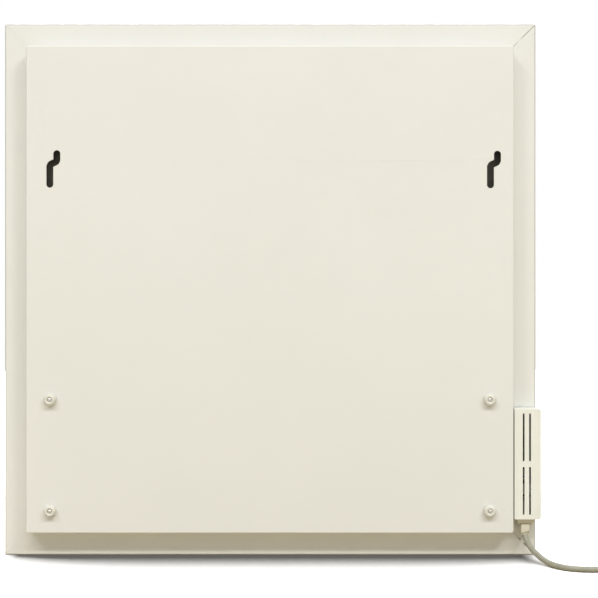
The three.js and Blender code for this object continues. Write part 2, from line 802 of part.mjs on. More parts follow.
function dialSpindle() {
  const round = solid(disc(spindleRadius, dialRearY + gap, circuitY - 2 * gap));
  const flatted = plate(dShaped(spindleRadius, spindleFlat), dialFrontY, dialRearY + 2 * gap);
  return joined(round, flatted);
}

function regulatorBody() {
  const front = dialRearY + 2 * gap;
  const back = circuitY - gap;
  const radius = regulatorDiameter / 2;
  const can = cylinderAt(0, 0, radius, front, back);
  const foot = block(-radius, radius, back - regulatorFoot, back, -radius, 0);
  return without(joined(can, foot), cylinderAt(0, 0, spindleRadius + gap, front - gap, back + gap));
}

// ---- Rocker switch: a snap-in frame with a key that tips about Y ----

const keyPivotX = controlOut - bezelThickness + keyPivotDepth;
const switchBack = controlOut + switchBody;
const keyHalf = switchLength / 2 - bezelOverlap - switchEndWall - 2 * running;
const keyWidth = switchWidth - 2 * (bezelOverlap + switchSideWall + running);

function switchFrame() {
  const face = controlOut - gap;
  const bezel = blockAt(
    at(face - bezelThickness / 2, switchY, switchZ), bezelThickness, switchWidth, switchLength);
  const bodyWidth = switchWidth - 2 * bezelOverlap;
  const bodyLength = switchLength - 2 * bezelOverlap;
  const bodyFront = face - bezelThickness / 2;
  const body = blockAt(
    at((bodyFront + switchBack) / 2, switchY, switchZ), switchBack - bodyFront, bodyWidth, bodyLength);
  const contacts = [-1, 1].map((side) => blockAt(
    at(switchBack + contactLength / 2 - bladeThickness, switchY, switchZ + side * bodyLength / 4),
    contactLength, bladeThickness, contactWidth));
  const wellFront = face - 2 * bezelThickness;
  const wellBack = keyPivotX + switchWell;
  const well = blockAt(
    at((wellFront + wellBack) / 2, switchY, switchZ), wellBack - wellFront,
    keyWidth + 2 * running, 2 * (keyHalf + 2 * running));
  return without(joined(bezel, body, ...contacts), well);
}

// The key's two faces meet in a shallow V over the pivot; it rests with its lower half pressed.
function switchKey() {
  const tilt = THREE.MathUtils.degToRad(keyTilt);
  const crest = keyHalf * Math.tan(tilt);
  const valley = keyPivotDepth + keyProud - bezelThickness / 2;
  const shape = new THREE.Shape();
  shape.moveTo(-valley, 0);
  shape.lineTo(-valley - crest, keyHalf);
  shape.lineTo(0, keyHalf);
  shape.lineTo(keyBack, keyBack);
  shape.lineTo(keyBack, -keyBack);
  shape.lineTo(0, -keyHalf);
  shape.lineTo(-valley - crest, -keyHalf);
  const key = new THREE.ExtrudeGeometry(shape, { depth: keyWidth, bevelEnabled: false });
  key.rotateX(Math.PI / 2);
  key.translate(0, keyWidth / 2, 0);
  key.rotateY(-tilt);
  return key;
}

function indicatorLens() {
  const radius = lampDiameter / 2;
  const face = -gap - lensLip;
  const lens = turned([
    [0, face - lensDome], [radius / 2, face - lensDome], [radius, face], [radius + lensLip, face],
    [radius + lensLip, -gap], [radius, -gap], [radius, lensLength], [0, lensLength],
  ], smallSteps);
  lens.rotateZ(-Math.PI / 2);
  return lens;
}

// ---- Circuit board, terminals and cores inside the housing ----

function circuitBoard() {
  return block(circuitOut, circuitIn, circuitY, circuitY + circuitThickness, circuitBottom, circuitTop);
}

// On the board's rear side, clear of the dial.
function relay() {
  const front = circuitY + circuitThickness + gap;
  return blockAt(
    at(controlMiddle, front + relayHeight / 2, (circuitBottom + circuitTop) / 2),
    relayWidth, relayHeight, relayLength);
}

const terminalFrontY = switchY + switchWidth / 2 + terminalBehind;
const terminalRearY = terminalFrontY + terminalDepth;
const terminalBottom = switchZ - terminalDrop;
const terminalTop = terminalBottom + terminalHeight;
const terminalMiddleZ = (terminalBottom + terminalTop) / 2;
const terminalPitch = terminalWidth / 3;
const poles = ['neutral', 'live', 'earth'];
const poleX = (index) => controlMiddle + (index - 1) * terminalPitch;

function terminalBlock() {
  const body = blockAt(
    at(controlMiddle, terminalFrontY + terminalDepth / 2, terminalMiddleZ),
    terminalWidth, terminalDepth, terminalHeight);
  const wells = poles.map((pole, index) => cylinderAt(
    poleX(index), terminalMiddleZ, terminalScrew / 2 + gap, terminalRearY - terminalWell,
    terminalRearY + gap, smallSteps));
  const waists = [-1, 1].map((side) => blockAt(
    at(controlMiddle + side * terminalPitch / 2, terminalRearY, terminalMiddleZ),
    terminalWaist, terminalDepth / 2, terminalHeight + 2 * gap));
  return without(body, ...wells, ...waists);
}

function terminalScrewBody() {
  const slot = blockAt(at(0, 0, 0), 2 * terminalScrew, 2 * screwSlot, screwSlot);
  return without(solid(disc(terminalScrew / 2, -terminalScrewLength, 0, smallSteps)), slot);
}

function grommet() {
  const neck = grommetRadius - gap;
  const lip = grommetRadius + grommetLip;
  const inside = controlWall + gap;
  const front = -gap - grommetLipThickness;
  const back = inside + grommetLipThickness;
  const ring = turned([
    [grommetBore, front], [lip, front], [lip, -gap], [neck, -gap], [neck, inside],
    [lip, inside], [lip, back], [grommetBore, back], [grommetBore, front],
  ], smallSteps);
  ring.rotateZ(-Math.PI / 2);
  return ring;
}

// Each core leaves its terminal upwards, bends past the switch, and goes out through the grommet.
// A bend is a share of the way in X and in Y, and a height above the straight line in core diameters.
const coreBends = {
  neutral: [[0, 0, 2.3], [0.41, 0.56, 2.5], [0.72, 0.91, 0.8]],
  live: [[0.04, 0.04, 1.4], [0.44, 0.42, 1], [0.74, 0.87, 0.2]],
  earth: [[0.03, 0.04, 0.8], [0.53, 0.47, 0.5], [0.69, 0.82, 0]],
};

// Where each core goes from the grommet: the mat's tab, the cut-out's blade, the earth ring's barrel.
const coreEnds = {
  neutral: (exit) => {
    const end = at(tabX - bladeThickness / 2 - gap, tabY, tabPlaces.neutral);
    return [between(exit, end, 0.3, 0, 0.28), between(exit, end, 0.64, 0.5, 0.9),
      between(exit, end, 0.88, 1, 1), end];
  },
  live: (exit) => {
    const end = at(cutoutX - (bladeSpacing + bladeThickness) / 2 - gap, bladeY, recessMiddle);
    return [between(exit, end, 0.53, 0.13, 0), between(exit, end, 0.88, 1, 1), end];
  },
  earth: () => {
    const end = at(barrelEndX + gap, barrelY, studZ);
    return [
      at(end.x + 0.03 * coreLoop, grommetY - coreDiameter, studZ + 1.33 * coreLoop),
      at(end.x + 0.78 * coreLoop, barrelY + 0.25 * coreLoop, studZ + 0.83 * coreLoop),
      at(end.x + 0.95 * coreLoop, barrelY + 0.05 * coreLoop, studZ + 0.3 * coreLoop),
      at(end.x + 0.5 * coreLoop, barrelY, studZ), end];
  },
};

function coreRoute(pole, index) {
  const start = at(poleX(index), terminalFrontY + terminalDepth / 3, terminalTop + gap);
  const mouth = at(controlIn - controlWall, grommetY, grommetZ + (1 - index) * coreSpread);
  const exit = along(mouth, at(1, 0, 0), controlWall + coreExit);
  const bends = coreBends[pole].map(([x, y, lift]) =>
    along(between(start, mouth, x, y, x), at(0, 0, 1), lift * coreDiameter));
  return [start, ...bends, mouth, exit, ...coreEnds[pole](exit)];
}

function controls() {
  const dial = piece('thermostat_dial', thermostatDial(), creamPlastic());
  const spindle = piece('dial_spindle', dialSpindle(), zinc());
  const regulator = piece('regulator_body', regulatorBody(), darkPlastic());
  [dial, spindle, regulator].forEach((member) => member.position.set(dialX, 0, dialZ));
  const key = piece('switch_key', switchKey(), darkPlastic());
  key.position.set(keyPivotX, switchY, switchZ);
  const lens = piece('indicator_lens', indicatorLens(), finish('#c8462e', 0.25));
  lens.position.set(controlOut, dialY, lampZ);
  const bush = piece('lead_grommet', grommet(), darkPlastic());
  bush.position.set(controlIn - controlWall, grommetY, grommetZ);
  const screws = poles.map((pole, index) => {
    const screw = piece(`terminal_screw_${pole}`, terminalScrewBody(), zinc());
    screw.position.set(poleX(index), terminalRearY - 2 * screwSlot, terminalMiddleZ);
    return screw;
  });
  const coreFinishes = {
    live: brownSheath(), neutral: finish('#3f6ea5', 0.6), earth: finish('#7f9c3a', 0.6),
  };
  const cores = poles.map((pole, index) => piece(
    `core_${pole}`, tube(coreRoute(pole, index), coreDiameter, fineSides, coreSteps), coreFinishes[pole]));
  return assembly(
    dial, spindle, regulator,
    piece('switch_frame', switchFrame(), darkPlastic()), key, lens,
    piece('circuit_board', circuitBoard(), finish('#3c5a3a', 0.6)),
    piece('relay', relay(), darkPlastic()),
    piece('terminal_block', terminalBlock(), creamPlastic()),
    ...screws, bush, ...cores);
}

// ---- Mains lead: bush and sleeve at the housing, free stretch, tied coil, tail and plug ----

const collarTop = controlBottom - gap;
const coilLow = tieThickness + gap + cordDiameter / 2;

// The visible route, from the sleeve down to the floor, rearwards, then off along the floor: each
// point's place from the cord's entry in X and Y, and its height above the floor.
const leadRoute = [
  [0.1, 0.6, 24.6], [-1.5, 6.6, 18.6], [-4.6, 17.5, 12.4], [-9, 32.5, 7.9], [-13.9, 47.5, 5],
  [-19.2, 61, 3.7], [-26.4, 73.2, 3.3], [-36.6, 82, 3.3], [-49.5, 86.4, 3.3], [-66, 87, 3.5],
  [-88, 86.3, 4], [-108, 86, 4.5],
].map(([x, y, z]) => at(cordX + x, splitY + y, z));

const coilStart = at(cordX - coilAside, splitY + coilBehind, coilLow);
const coilCentre = at(coilStart.x, coilStart.y - coilInner - coilPitch * coilTurnsIn, 0);
const exitDirection = leadRoute[1].clone().sub(leadRoute[0]).normalize();

function mainsLead() {
  const arrival = along(coilStart, at(1, 0, 0), cordDiameter + gap);
  const last = along(arrival, at(1, 0, 0), cordDiameter);
  return tube([...leadRoute, last, arrival], cordDiameter, cordSides, leadSteps);
}

// The coil's middle line: in along the lower layer, up at the reversal, out along the upper.
function coilLine() {
  const turns = coilTurnsIn + coilTurnsOut;
  const points = [];
  for (let step = 0; step <= turns * coilSteps; step += 1) {
    const turn = step / coilSteps - coilTurnsIn;
    const angle = Math.PI / 2 + 2 * Math.PI * (step / coilSteps);
    const radius = coilInner + coilPitch * Math.abs(turn);
    const climb = THREE.MathUtils.smoothstep(turn, -coilClimb / 2, coilClimb / 2);
    points.push(at(
      coilCentre.x + radius * Math.cos(angle), coilCentre.y + radius * Math.sin(angle),
      coilLow + coilPitch * climb));
  }
  const arriving = along(points[0], at(1, 0, 0), cordDiameter);
  const leaving = along(points[points.length - 1], at(0, -1, 0), cordDiameter);
  return [arriving, ...points, leaving];
}

// The least distance between two places on the coil over three diameters apart, surface to surface.
function leastGap(points, diameter) {
  const fine = new THREE.CatmullRomCurve3(points).getSpacedPoints(points.length * 4);
  const step = fine[0].distanceTo(fine[1]);
  const apart = Math.ceil((3 * diameter) / step);
  let least = Infinity;
  for (let i = 0; i < fine.length; i += 1) {
    for (let j = i + apart; j < fine.length; j += 1) {
      least = Math.min(least, fine[i].distanceTo(fine[j]));
    }
  }
  return least - diameter;
}

const coil = coilLine();
const coilEnd = coil[coil.length - 1];
console.log(`lead_coil: least gap to itself ${leastGap(coil, cordDiameter).toFixed(2)} mm`);

function leadCoil() {
  return tube(coil, cordDiameter, fineSides, coil.length - 1);
}

// A band round the whole bundle, square to its turns, at a place between the lead's two ends.
function coilTie() {
  const lowest = Math.min(tieTurn, 1 - tieTurn);
  const highest = Math.floor(coilTurnsOut - tieTurn) + tieTurn;
  const corner = cordDiameter / 2;
  const reach = corner + 3 * gap;
  const x0 = coilInner + coilPitch * lowest - reach;
  const x1 = coilInner + coilPitch * highest + reach;
  const top = coilLow + coilPitch + corner + gap;
  const outer = plate(
    rectangle(x0 - tieThickness, x1 + tieThickness, 0, top + tieThickness, corner + tieThickness),
    -tieWidth / 2, tieWidth / 2);
  const inner = plate(rectangle(x0, x1, tieThickness, top, corner), -tieWidth, tieWidth);
  const band = piece('coil_tie', without(outer, inner), darkPlastic());
  band.position.set(coilCentre.x, coilCentre.y, 0);
  band.rotation.z = Math.PI / 2 + 2 * Math.PI * tieTurn;
  return band;
}

function taperedBlock(width, depth, height, taper) {
  const geometry = new THREE.BoxGeometry(width, depth, height);
  const position = geometry.attributes.position;
  for (let i = 0; i < position.count; i += 1) {
    if (position.getZ(i) < 0) {
      position.setX(i, position.getX(i) - Math.sign(position.getX(i)) * taper);
      position.setY(i, position.getY(i) - Math.sign(position.getY(i)) * taper);
    }
  }
  return solid(geometry);
}

function cordCollar() {
  const inside = controlBottom + controlWall + gap;
  const flangeTop = inside + bushFlange;
  const collar = taperedBlock(collarWidth, collarDepth, collarHeight, collarTaper)
    .translate([cordX, splitY, collarTop - collarHeight / 2]);
  const neckFoot = collarTop - collarHeight / 2;
  const neck = blockAt(
    at(cordX, splitY, (neckFoot + flangeTop) / 2), neckWidth, neckDepth, flangeTop - neckFoot);
  const flange = blockAt(
    at(cordX, splitY, inside + bushFlange / 2), collarWidth - 2 * bushFlangeInset, collarDepth, bushFlange);
  return joined(collar, neck, flange);
}

// A square sleeve that ends in a round mouth, which is cut square to the lead that leaves it.
function cordSleeve() {
  const top = collarTop - collarHeight - gap;
  const foot = top - sleeveReach;
  const size = 2 * sleeveReach;
  const body = blockAt(at(cordX, splitY, (top + foot) / 2), sleeveWidth, sleeveDepth, sleeveReach);
  const end = along(leadRoute[0], exitDirection, -gap);
  const turn = new THREE.Quaternion().setFromUnitVectors(at(0, 0, 1), exitDirection);
  const cutter = new THREE.BoxGeometry(size, size, size);
  cutter.translate(0, 0, size / 2);
  const radius = cordDiameter / 2 + sleeveLip;
  const mouth = new THREE.CylinderGeometry(radius, radius, size, roundSteps);
  mouth.rotateX(Math.PI / 2);
  [cutter, mouth].forEach((shape) => shape.applyQuaternion(turn).translate(end.x, end.y, end.z));
  const mouthTop = leadRoute[0].z + sleeveMouth;
  const below = blockAt(at(cordX, splitY, mouthTop - size / 2), size, size, size);
  return without(body, solid(cutter), without(below, solid(mouth)));
}

// The sheathed lead inside the housing, up to where its cores part.
function sheathInside() {
  const bottom = controlBottom + controlWall + bushFlange + 2 * gap;
  const radius = cordDiameter / 2;
  const geometry = new THREE.CylinderGeometry(radius, radius, sheathLength, smallSteps);
  geometry.rotateX(Math.PI / 2);
  geometry.translate(cordX, splitY, bottom + sheathLength / 2);
  return geometry;
}

const plugAxisZ = plugRadius;
const plugFace = coilEnd.y - plugTailLength - 2 * gap - plugLength - plugSleeve;

function plugTail() {
  const start = along(coilEnd, at(0, -1, 0), gap);
  const end = at(start.x, start.y - plugTailLength, plugAxisZ);
  return tube([
    start, along(start, at(0, -1, 0), cordDiameter), along(end, at(0, 1, 0), cordDiameter), end,
  ], cordDiameter, cordSides, tailSteps);
}

function plugBody() {
  const throat = cordDiameter / 2 + plugThroatWall;
  const shoulder = plugRadius - plugShoulderStep;
  const body = solid(turned([
    [0, 0], [plugRadius - plugEdge, 0], [plugRadius, plugEdge], [plugRadius, plugFaceDepth],
    [shoulder, plugFaceDepth + plugShoulder], [plugNeckRadius, plugLength - plugEdge],
    [throat + plugEdge, plugLength], [throat, plugLength + plugSleeve], [0, plugLength + plugSleeve],
  ]));
  const grooves = [-1, 1].map((side) => block(
    -clipGrooveWidth / 2, clipGrooveWidth / 2, -plugEdge, plugFaceDepth - plugShoulder,
    side * (plugRadius - clipGrooveDepth), side * (plugRadius + plugEdge)));
  const earthHole = cylinderAt(0, earthHoleRise, earthHoleRadius, -plugEdge, earthHoleDepth, smallSteps);
  const pinHoles = [-1, 1].map((side) => cylinderAt(
    side * pinSpacing / 2, 0, pinDiameter / 2 + gap, -plugEdge, pinRoot + gap, smallSteps));
  return without(body, ...grooves, earthHole, ...pinHoles);
}

function plugPin() {
  const radius = pinDiameter / 2;
  return turned([
    [0, -pinLength], [radius / 2, -pinLength], [radius, -pinLength + pinPoint], [radius, pinRoot],
    [0, pinRoot],
  ], smallSteps);
}

function earthClip(side) {
  const z = plugRadius - clipGrooveDepth + gap;
  return block(
    -clipWidth / 2, clipWidth / 2, plugEdge / 2, plugFaceDepth - plugShoulder - plugEdge,
    side * z, side * (z + clipThickness));
}

function mainsSet() {
  const pins = [['left', -1], ['right', 1]].map(([name, side]) => {
    const pin = piece(`plug_pin_${name}`, plugPin(), zinc());
    pin.position.set(side * pinSpacing / 2, 0, 0);
    return pin;
  });
  const clips = [['upper', 1], ['lower', -1]].map(([name, side]) =>
    piece(`plug_earth_clip_${name}`, earthClip(side), zinc()));
  const plug = assembly(piece('plug_body', plugBody(), greyRubber()), ...pins, ...clips);
  plug.position.set(coilEnd.x, plugFace, plugAxisZ);
  return assembly(
    piece('cord_collar', cordCollar(), creamPlastic()),
    piece('cord_sleeve', cordSleeve(), creamPlastic()),
    piece('sheath_inside', sheathInside(), greyRubber()),
    piece('mains_lead', mainsLead(), greyRubber()),
    piece('lead_coil', leadCoil(), greyRubber()),
    piece('plug_lead', plugTail(), greyRubber()),
    coilTie(), plug);
}

export default assembly(casing(), wallSpacers(), heatingStack(), controlUnit(), controls(), mainsSet());
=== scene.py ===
# Infrared panel heater, stood on its lower edge and seen from the wall side.
import math
import bmesh
import bpy
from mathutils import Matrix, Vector


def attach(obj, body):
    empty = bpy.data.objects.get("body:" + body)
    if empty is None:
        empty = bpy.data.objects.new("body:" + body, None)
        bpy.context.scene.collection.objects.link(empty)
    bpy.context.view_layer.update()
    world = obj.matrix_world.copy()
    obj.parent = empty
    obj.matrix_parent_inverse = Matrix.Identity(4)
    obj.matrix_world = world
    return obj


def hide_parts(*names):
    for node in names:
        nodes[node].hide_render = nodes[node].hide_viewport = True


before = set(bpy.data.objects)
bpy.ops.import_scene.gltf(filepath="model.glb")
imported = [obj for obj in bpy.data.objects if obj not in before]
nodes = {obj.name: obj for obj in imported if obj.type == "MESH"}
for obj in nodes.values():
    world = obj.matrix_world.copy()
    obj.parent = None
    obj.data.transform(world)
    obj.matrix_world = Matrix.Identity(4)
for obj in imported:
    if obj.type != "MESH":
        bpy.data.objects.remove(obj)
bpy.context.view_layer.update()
print("frame:", len(nodes), "CAD nodes")

panelMiddle = 0.3  # the panel's middle above the floor
hair = 0.00001  # slack for what lies on a plane
spare = 0.001  # how far a cutter reaches past what it cuts, and a joined part into another


def deselect():
    bpy.ops.object.select_all(action="DESELECT")


def newest(name):  # what an operator has just added
    piece = bpy.context.object
    piece.name = name
    return piece


photoView = {
    "pixels": 598,
    "focalPixels": 1326.9,
    "sensor": 36,  # mm
    "nearest": 0.01,
    "eye": (-0.0325, 1.510, 0.2893),
    "turn": (90, 0, 180),  # degrees: level, square to the rear face
}


def addCamera(view):
    deselect()
    bpy.ops.object.camera_add(location=view["eye"],
                              rotation=[math.radians(angle) for angle in view["turn"]])
    camera = newest("photoCamera")
    camera.data.sensor_width = view["sensor"]
    camera.data.lens = view["focalPixels"] * view["sensor"] / view["pixels"]
    camera.data.clip_start = view["nearest"]
    bpy.context.scene.camera = camera


addCamera(photoView)
print("camera: lens", round(bpy.context.scene.camera.data.lens, 1), "mm")

mainsCord = {
    "diameter": 0.0065,
    "length": 1.735,
    # from the sleeve down to the floor, rearwards, then off along the floor
    "route": [
        (-0.2859, 0.0206, 0.0246), (-0.2875, 0.0266, 0.0186), (-0.2906, 0.0375, 0.0124),
        (-0.2950, 0.0525, 0.0079), (-0.2999, 0.0675, 0.0050), (-0.3052, 0.0810, 0.0037),
        (-0.3124, 0.0932, 0.0033), (-0.3226, 0.1020, 0.0033), (-0.3355, 0.1064, 0.0033),
        (-0.3520, 0.1070, 0.0035), (-0.3740, 0.1063, 0.0040), (-0.3940, 0.1060, 0.0045),
    ],
    "coilStart": (-0.4170, 0.1060),
    "coilLow": 0.00465,  # the lower layer's middle line, on the tie's foot
    "coilInner": 0.027,
    "coilPitch": 0.0072,  # between turns side by side, and between layers
    "turnsIn": 3,
    "turnsOut": 3.25,
    "stepsPerTurn": 24,
    "climb": 0.5,  # turns in which it climbs to the upper layer
    "tail": 0.032,
    "plugAxis": 0.0185,
    "curveSteps": 6,  # between two points
    "roundness": 5,
}


def coilPoints(cord):
    x, y = cord["coilStart"]
    centre = Vector((x, y - cord["coilInner"] - cord["coilPitch"] * cord["turnsIn"], 0))
    steps = round((cord["turnsIn"] + cord["turnsOut"]) * cord["stepsPerTurn"])
    points = []
    for step in range(steps + 1):
        turn = step / cord["stepsPerTurn"] - cord["turnsIn"]
        angle = math.pi / 2 + 2 * math.pi * step / cord["stepsPerTurn"]
        radius = cord["coilInner"] + cord["coilPitch"] * abs(turn)
        rise = min(max(turn / cord["climb"] + 0.5, 0), 1)
        height = cord["coilLow"] + cord["coilPitch"] * rise * rise * (3 - 2 * rise)
        points.append(centre + Vector((radius * math.cos(angle), radius * math.sin(angle), height)))
    return points


def cordLine(cord):
    coil = coilPoints(cord)
    stub = cord["diameter"]
    arrival = coil[0] + Vector((stub, 0, 0))
    leaving = coil[-1] - Vector((0, stub, 0))
    tailEnd = Vector((leaving.x, leaving.y - cord["tail"], cord["plugAxis"]))
    return ([Vector(point) for point in cord["route"]] + [arrival] + coil + [leaving]
            + [leaving.lerp(tailEnd, 0.5), tailEnd + Vector((0, stub, 0)), tailEnd])


def makeCord(cord):
    line = cordLine(cord)
    deselect()
    bpy.ops.curve.primitive_bezier_curve_add()
    piece = newest("mainsCord")
    curve = piece.data
    curve.splines.clear()
    spline = curve.splines.new("BEZIER")
    spline.bezier_points.add(len(line) - 1)
    for point, place in zip(spline.bezier_points, line):
        point.co = place
        point.handle_left_type = point.handle_right_type = "AUTO"
        point.radius = cord["diameter"] / 2  # the bevel is 1 wide, so that the curve's box is true
    curve.dimensions = "3D"
    curve.resolution_u = cord["curveSteps"]
    curve.bevel_depth = 1
    curve.bevel_resolution = cord["roundness"]
    curve.use_fill_caps = True
    length = sum((b - a).length for a, b in zip(line, line[1:]))
    print("cord:", len(line), "points,", round(length, 3), "m")
    return piece


cordPiece = makeCord(mainsCord)
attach(cordPiece, "heater")
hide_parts("mains_lead", "lead_coil", "plug_lead")


def linear(code):  # sRGB hex to linear RGBA
    channels = [int(code[i:i + 2], 16) / 255 for i in (1, 3, 5)]
    return tuple(c / 12.92 if c <= 0.04045 else ((c + 0.055) / 1.055) ** 2.4
                 for c in channels) + (1,)


def addNode(tree, kind, inputs=None, **settings):
    node = tree.nodes.new(kind)
    for name, value in settings.items():
        setattr(node, name, value)
    for name, value in (inputs or {}).items():
        if isinstance(value, bpy.types.NodeSocket):
            tree.links.new(value, node.inputs[name])
        else:
            node.inputs[name].default_value = value
    return node


def newMaterial(name):  # with the place that every pattern follows
    material = bpy.data.materials.new(name)
    material.use_nodes = True
    tree = material.node_tree
    tree.nodes.clear()
    return material, tree, addNode(tree, "ShaderNodeTexCoord").outputs["Object"]


# Every finish ends in this: a tint mixes two colours, a grain gives gloss and relief.
# Relief is a depth and a strength. Roughness runs from the low to the high end of the grain's span.
def addSurface(tree, finish, tint, grain, inputs, first=None):
    colour = addNode(tree, "ShaderNodeMix", {
        "Factor": tint, 6: first or linear(finish["colours"][0]), 7: linear(finish["colours"][-1])},
        data_type="RGBA")
    depth, strength = finish["relief"]
    bump = addNode(tree, "ShaderNodeBump", {
        "Height": grain, "Distance": depth, "Strength": strength})
    if "roughness" in finish:
        span = finish.get("span", (0.3, 0.7))
        gloss = addNode(tree, "ShaderNodeMapRange", {
            "Value": grain, "From Min": span[0], "From Max": span[1],
            "To Min": finish["roughness"][0], "To Max": finish["roughness"][1]})
        inputs = {"Roughness": gloss.outputs["Result"], **inputs}
    shader = addNode(tree, "ShaderNodeBsdfPrincipled", {
        "Base Color": colour.outputs[2], "Normal": bump.outputs["Normal"], **inputs})
    addNode(tree, "ShaderNodeOutputMaterial", {"Surface": shader.outputs["BSDF"]})


powderCoat = {
    "colours": ("#dfe0da", "#e4e4df", "#b4b3ab"),  # two of the film, and a grey painted as shade along the outermost folds
    "cloud": 0.16,  # the sprayed film's slow change of thickness
    "peel": 0.004,  # orange peel is 1 to 2 mm wide, drawn coarser so that it shows
    "relief": (0.00006, 0.35),
    "roughness": (0.4, 0.5),
    "fold": (0.2978, 0.2997),  # from the panel's middle, where the painted fold shade begins and ends on the outermost fold
    "foldShadeDepth": (0.0060, 0.0085),  # and only where it turns to the rear
}


# Polyester powder coat on folded steel: an even satin ivory with a faint orange peel in its gloss,
# and a grey painted shade along the panel's outermost folds, where they turn away from the light.
def ivoryPowderCoat(coat):
    material, tree, place = newMaterial("ivoryPowderCoat")
    cloud = addNode(tree, "ShaderNodeTexNoise", {
        "Vector": place, "Scale": 1 / coat["cloud"], "Detail": 3})
    film = addNode(tree, "ShaderNodeMix", {
        "Factor": cloud.outputs["Fac"], 6: linear(coat["colours"][0]),
        7: linear(coat["colours"][1])}, data_type="RGBA")
    centred = addNode(tree, "ShaderNodeMapping", {
        "Vector": place, "Location": (0, 0, -panelMiddle)})
    outward = addNode(tree, "ShaderNodeVectorMath", {0: centred.outputs["Vector"]},
                      operation="ABSOLUTE")
    sides = addNode(tree, "ShaderNodeSeparateXYZ", {"Vector": outward.outputs["Vector"]})
    edge = addNode(tree, "ShaderNodeMath", {0: sides.outputs["X"], 1: sides.outputs["Z"]},
                   operation="MAXIMUM")
    # painted shade: the outermost folds are mixed towards the grey colour
    fold = addNode(tree, "ShaderNodeMapRange", {
        "Value": edge.outputs["Value"], "From Min": coat["fold"][0], "From Max": coat["fold"][1]},
        interpolation_type="SMOOTHSTEP")
    turned = addNode(tree, "ShaderNodeMapRange", {
        "Value": sides.outputs["Y"], "From Min": coat["foldShadeDepth"][0],
        "From Max": coat["foldShadeDepth"][1], "To Max": fold.outputs["Result"]})
    peel = addNode(tree, "ShaderNodeTexNoise", {
        "Vector": place, "Scale": 1 / coat["peel"], "Detail": 1.5})
    addSurface(tree, coat, turned.outputs["Result"], peel.outputs["Fac"], {"IOR": 1.5},
               film.outputs[2])
    return material


# Moulded or extruded plastic and rubber: a colour that clouds a little, and the grain of its mould
# in both gloss and relief.
def mouldedPlastic(name, kind):
    material, tree, place = newMaterial(name)
    cloud = addNode(tree, "ShaderNodeTexNoise", {
        "Vector": place, "Scale": 1 / kind["cloud"], "Detail": 3})
    tint = addNode(tree, "ShaderNodeMapRange", {
        "Value": cloud.outputs["Fac"], "From Min": 0.35, "From Max": 0.65})
    grain = addNode(tree, "ShaderNodeTexNoise", {
        "Vector": place, "Scale": 1 / kind["grain"], "Detail": 3, "Roughness": 0.65})
    addSurface(tree, kind, tint.outputs["Result"], grain.outputs["Fac"], {
        "IOR": kind["ior"], "Subsurface Weight": kind["milkiness"],
        "Subsurface Radius": (0.002, 0.0017, 0.001)})
    return material


creamAbs = {  # injection-moulded ABS: matt cream with the eroded grain of its mould
    "colours": ("#e4e5db", "#e9eae2"), "cloud": 0.03, "grain": 0.0011, "relief": (0.00004, 0.5),
    "roughness": (0.46, 0.56), "ior": 1.52, "milkiness": 0.04,
}
milkyNylon = {  # moulded nylon: slightly milky, with a soft sheen on its rims
    "colours": ("#d7d6cb", "#dcdbd2"), "cloud": 0.006, "grain": 0.0008, "relief": (0.00002, 0.5),
    "roughness": (0.34, 0.44), "ior": 1.53, "milkiness": 0.12,
}
shadedCream = {  # flexible PVC of the cord's bush: a cream darkened and warmed with the painted shade of the housing above
    "colours": ("#cfcbb8", "#d5d1c0"), "cloud": 0.008, "grain": 0.0009, "relief": (0.00003, 0.5),
    "roughness": (0.48, 0.6), "ior": 1.53, "milkiness": 0,
}
greyPvc = {  # extruded PVC sheath: greenish grey with a low sheen and a ripple over its cores
    "colours": ("#949383", "#a4a393"), "cloud": 0.012, "grain": 0.0022, "relief": (0.00018, 0.5),
    "roughness": (0.44, 0.58), "ior": 1.53, "milkiness": 0,
}
blackNylon = {  # glass-filled nylon of switches, bushes and ties: near black and matt
    "colours": ("#2f2e2a", "#3a3935"), "cloud": 0.004, "grain": 0.0008, "relief": (0.00004, 0.5),
    "roughness": (0.48, 0.62), "ior": 1.53, "milkiness": 0,
}
dustyNylon = dict(blackNylon, colours=("#433f36", "#4e4a40"))  # behind the hanging slots
# silicone over stranded cores: plain colours under a waxy bloom
brownSilicone = dict(blackNylon, colours=("#6f4327", "#84512f"), roughness=(0.45, 0.6), ior=1.42)
blueSilicone = dict(brownSilicone, colours=("#3a669b", "#4878ad"))
greenSilicone = dict(brownSilicone, colours=("#6f9a35", "#8fae3c"))
paleInk = dict(creamAbs, colours=("#d8d7cf", "#e0dfd8"))  # pad-printed marks of the switch key

zincPlate = {
    "colours": ("#cfcfca", "#e2e2dd"), "streak": 0.0012, "stretch": (1, 0.2, 1),
    "relief": (0.00002, 0.3), "roughness": (0.26, 0.42),
}


# Bright zinc plate on steel screws and terminals: grey metal with fine drawn streaks.
def brightZinc(plate):
    material, tree, place = newMaterial("brightZinc")
    drawn = addNode(tree, "ShaderNodeMapping", {"Vector": place, "Scale": plate["stretch"]})
    streak = addNode(tree, "ShaderNodeTexNoise", {
        "Vector": drawn.outputs["Vector"], "Scale": 1 / plate["streak"], "Detail": 3})
    addSurface(tree, plate, streak.outputs["Fac"], streak.outputs["Fac"], {"Metallic": 1})
    return material


mineralWool = {
    "colours": ("#c9bb80", "#e4daac"), "fibre": 0.0025, "stretch": (1, 0.25, 1),
    "relief": (0.0008, 0.8),
}


# Pressed mineral wool: yellow-green felted fibres, quite without gloss.
def pressedWool(board):
    material, tree, place = newMaterial("pressedWool")
    felted = addNode(tree, "ShaderNodeMapping", {"Vector": place, "Scale": board["stretch"]})
    fibre = addNode(tree, "ShaderNodeTexNoise", {
        "Vector": felted.outputs["Vector"], "Scale": 1 / board["fibre"], "Detail": 5,
        "Roughness": 0.7})
    tint = addNode(tree, "ShaderNodeMapRange", {
        "Value": fibre.outputs["Fac"], "From Min": 0.35, "From Max": 0.65})
    addSurface(tree, board, tint.outputs["Result"], fibre.outputs["Fac"], {"Roughness": 0.95})
    return material


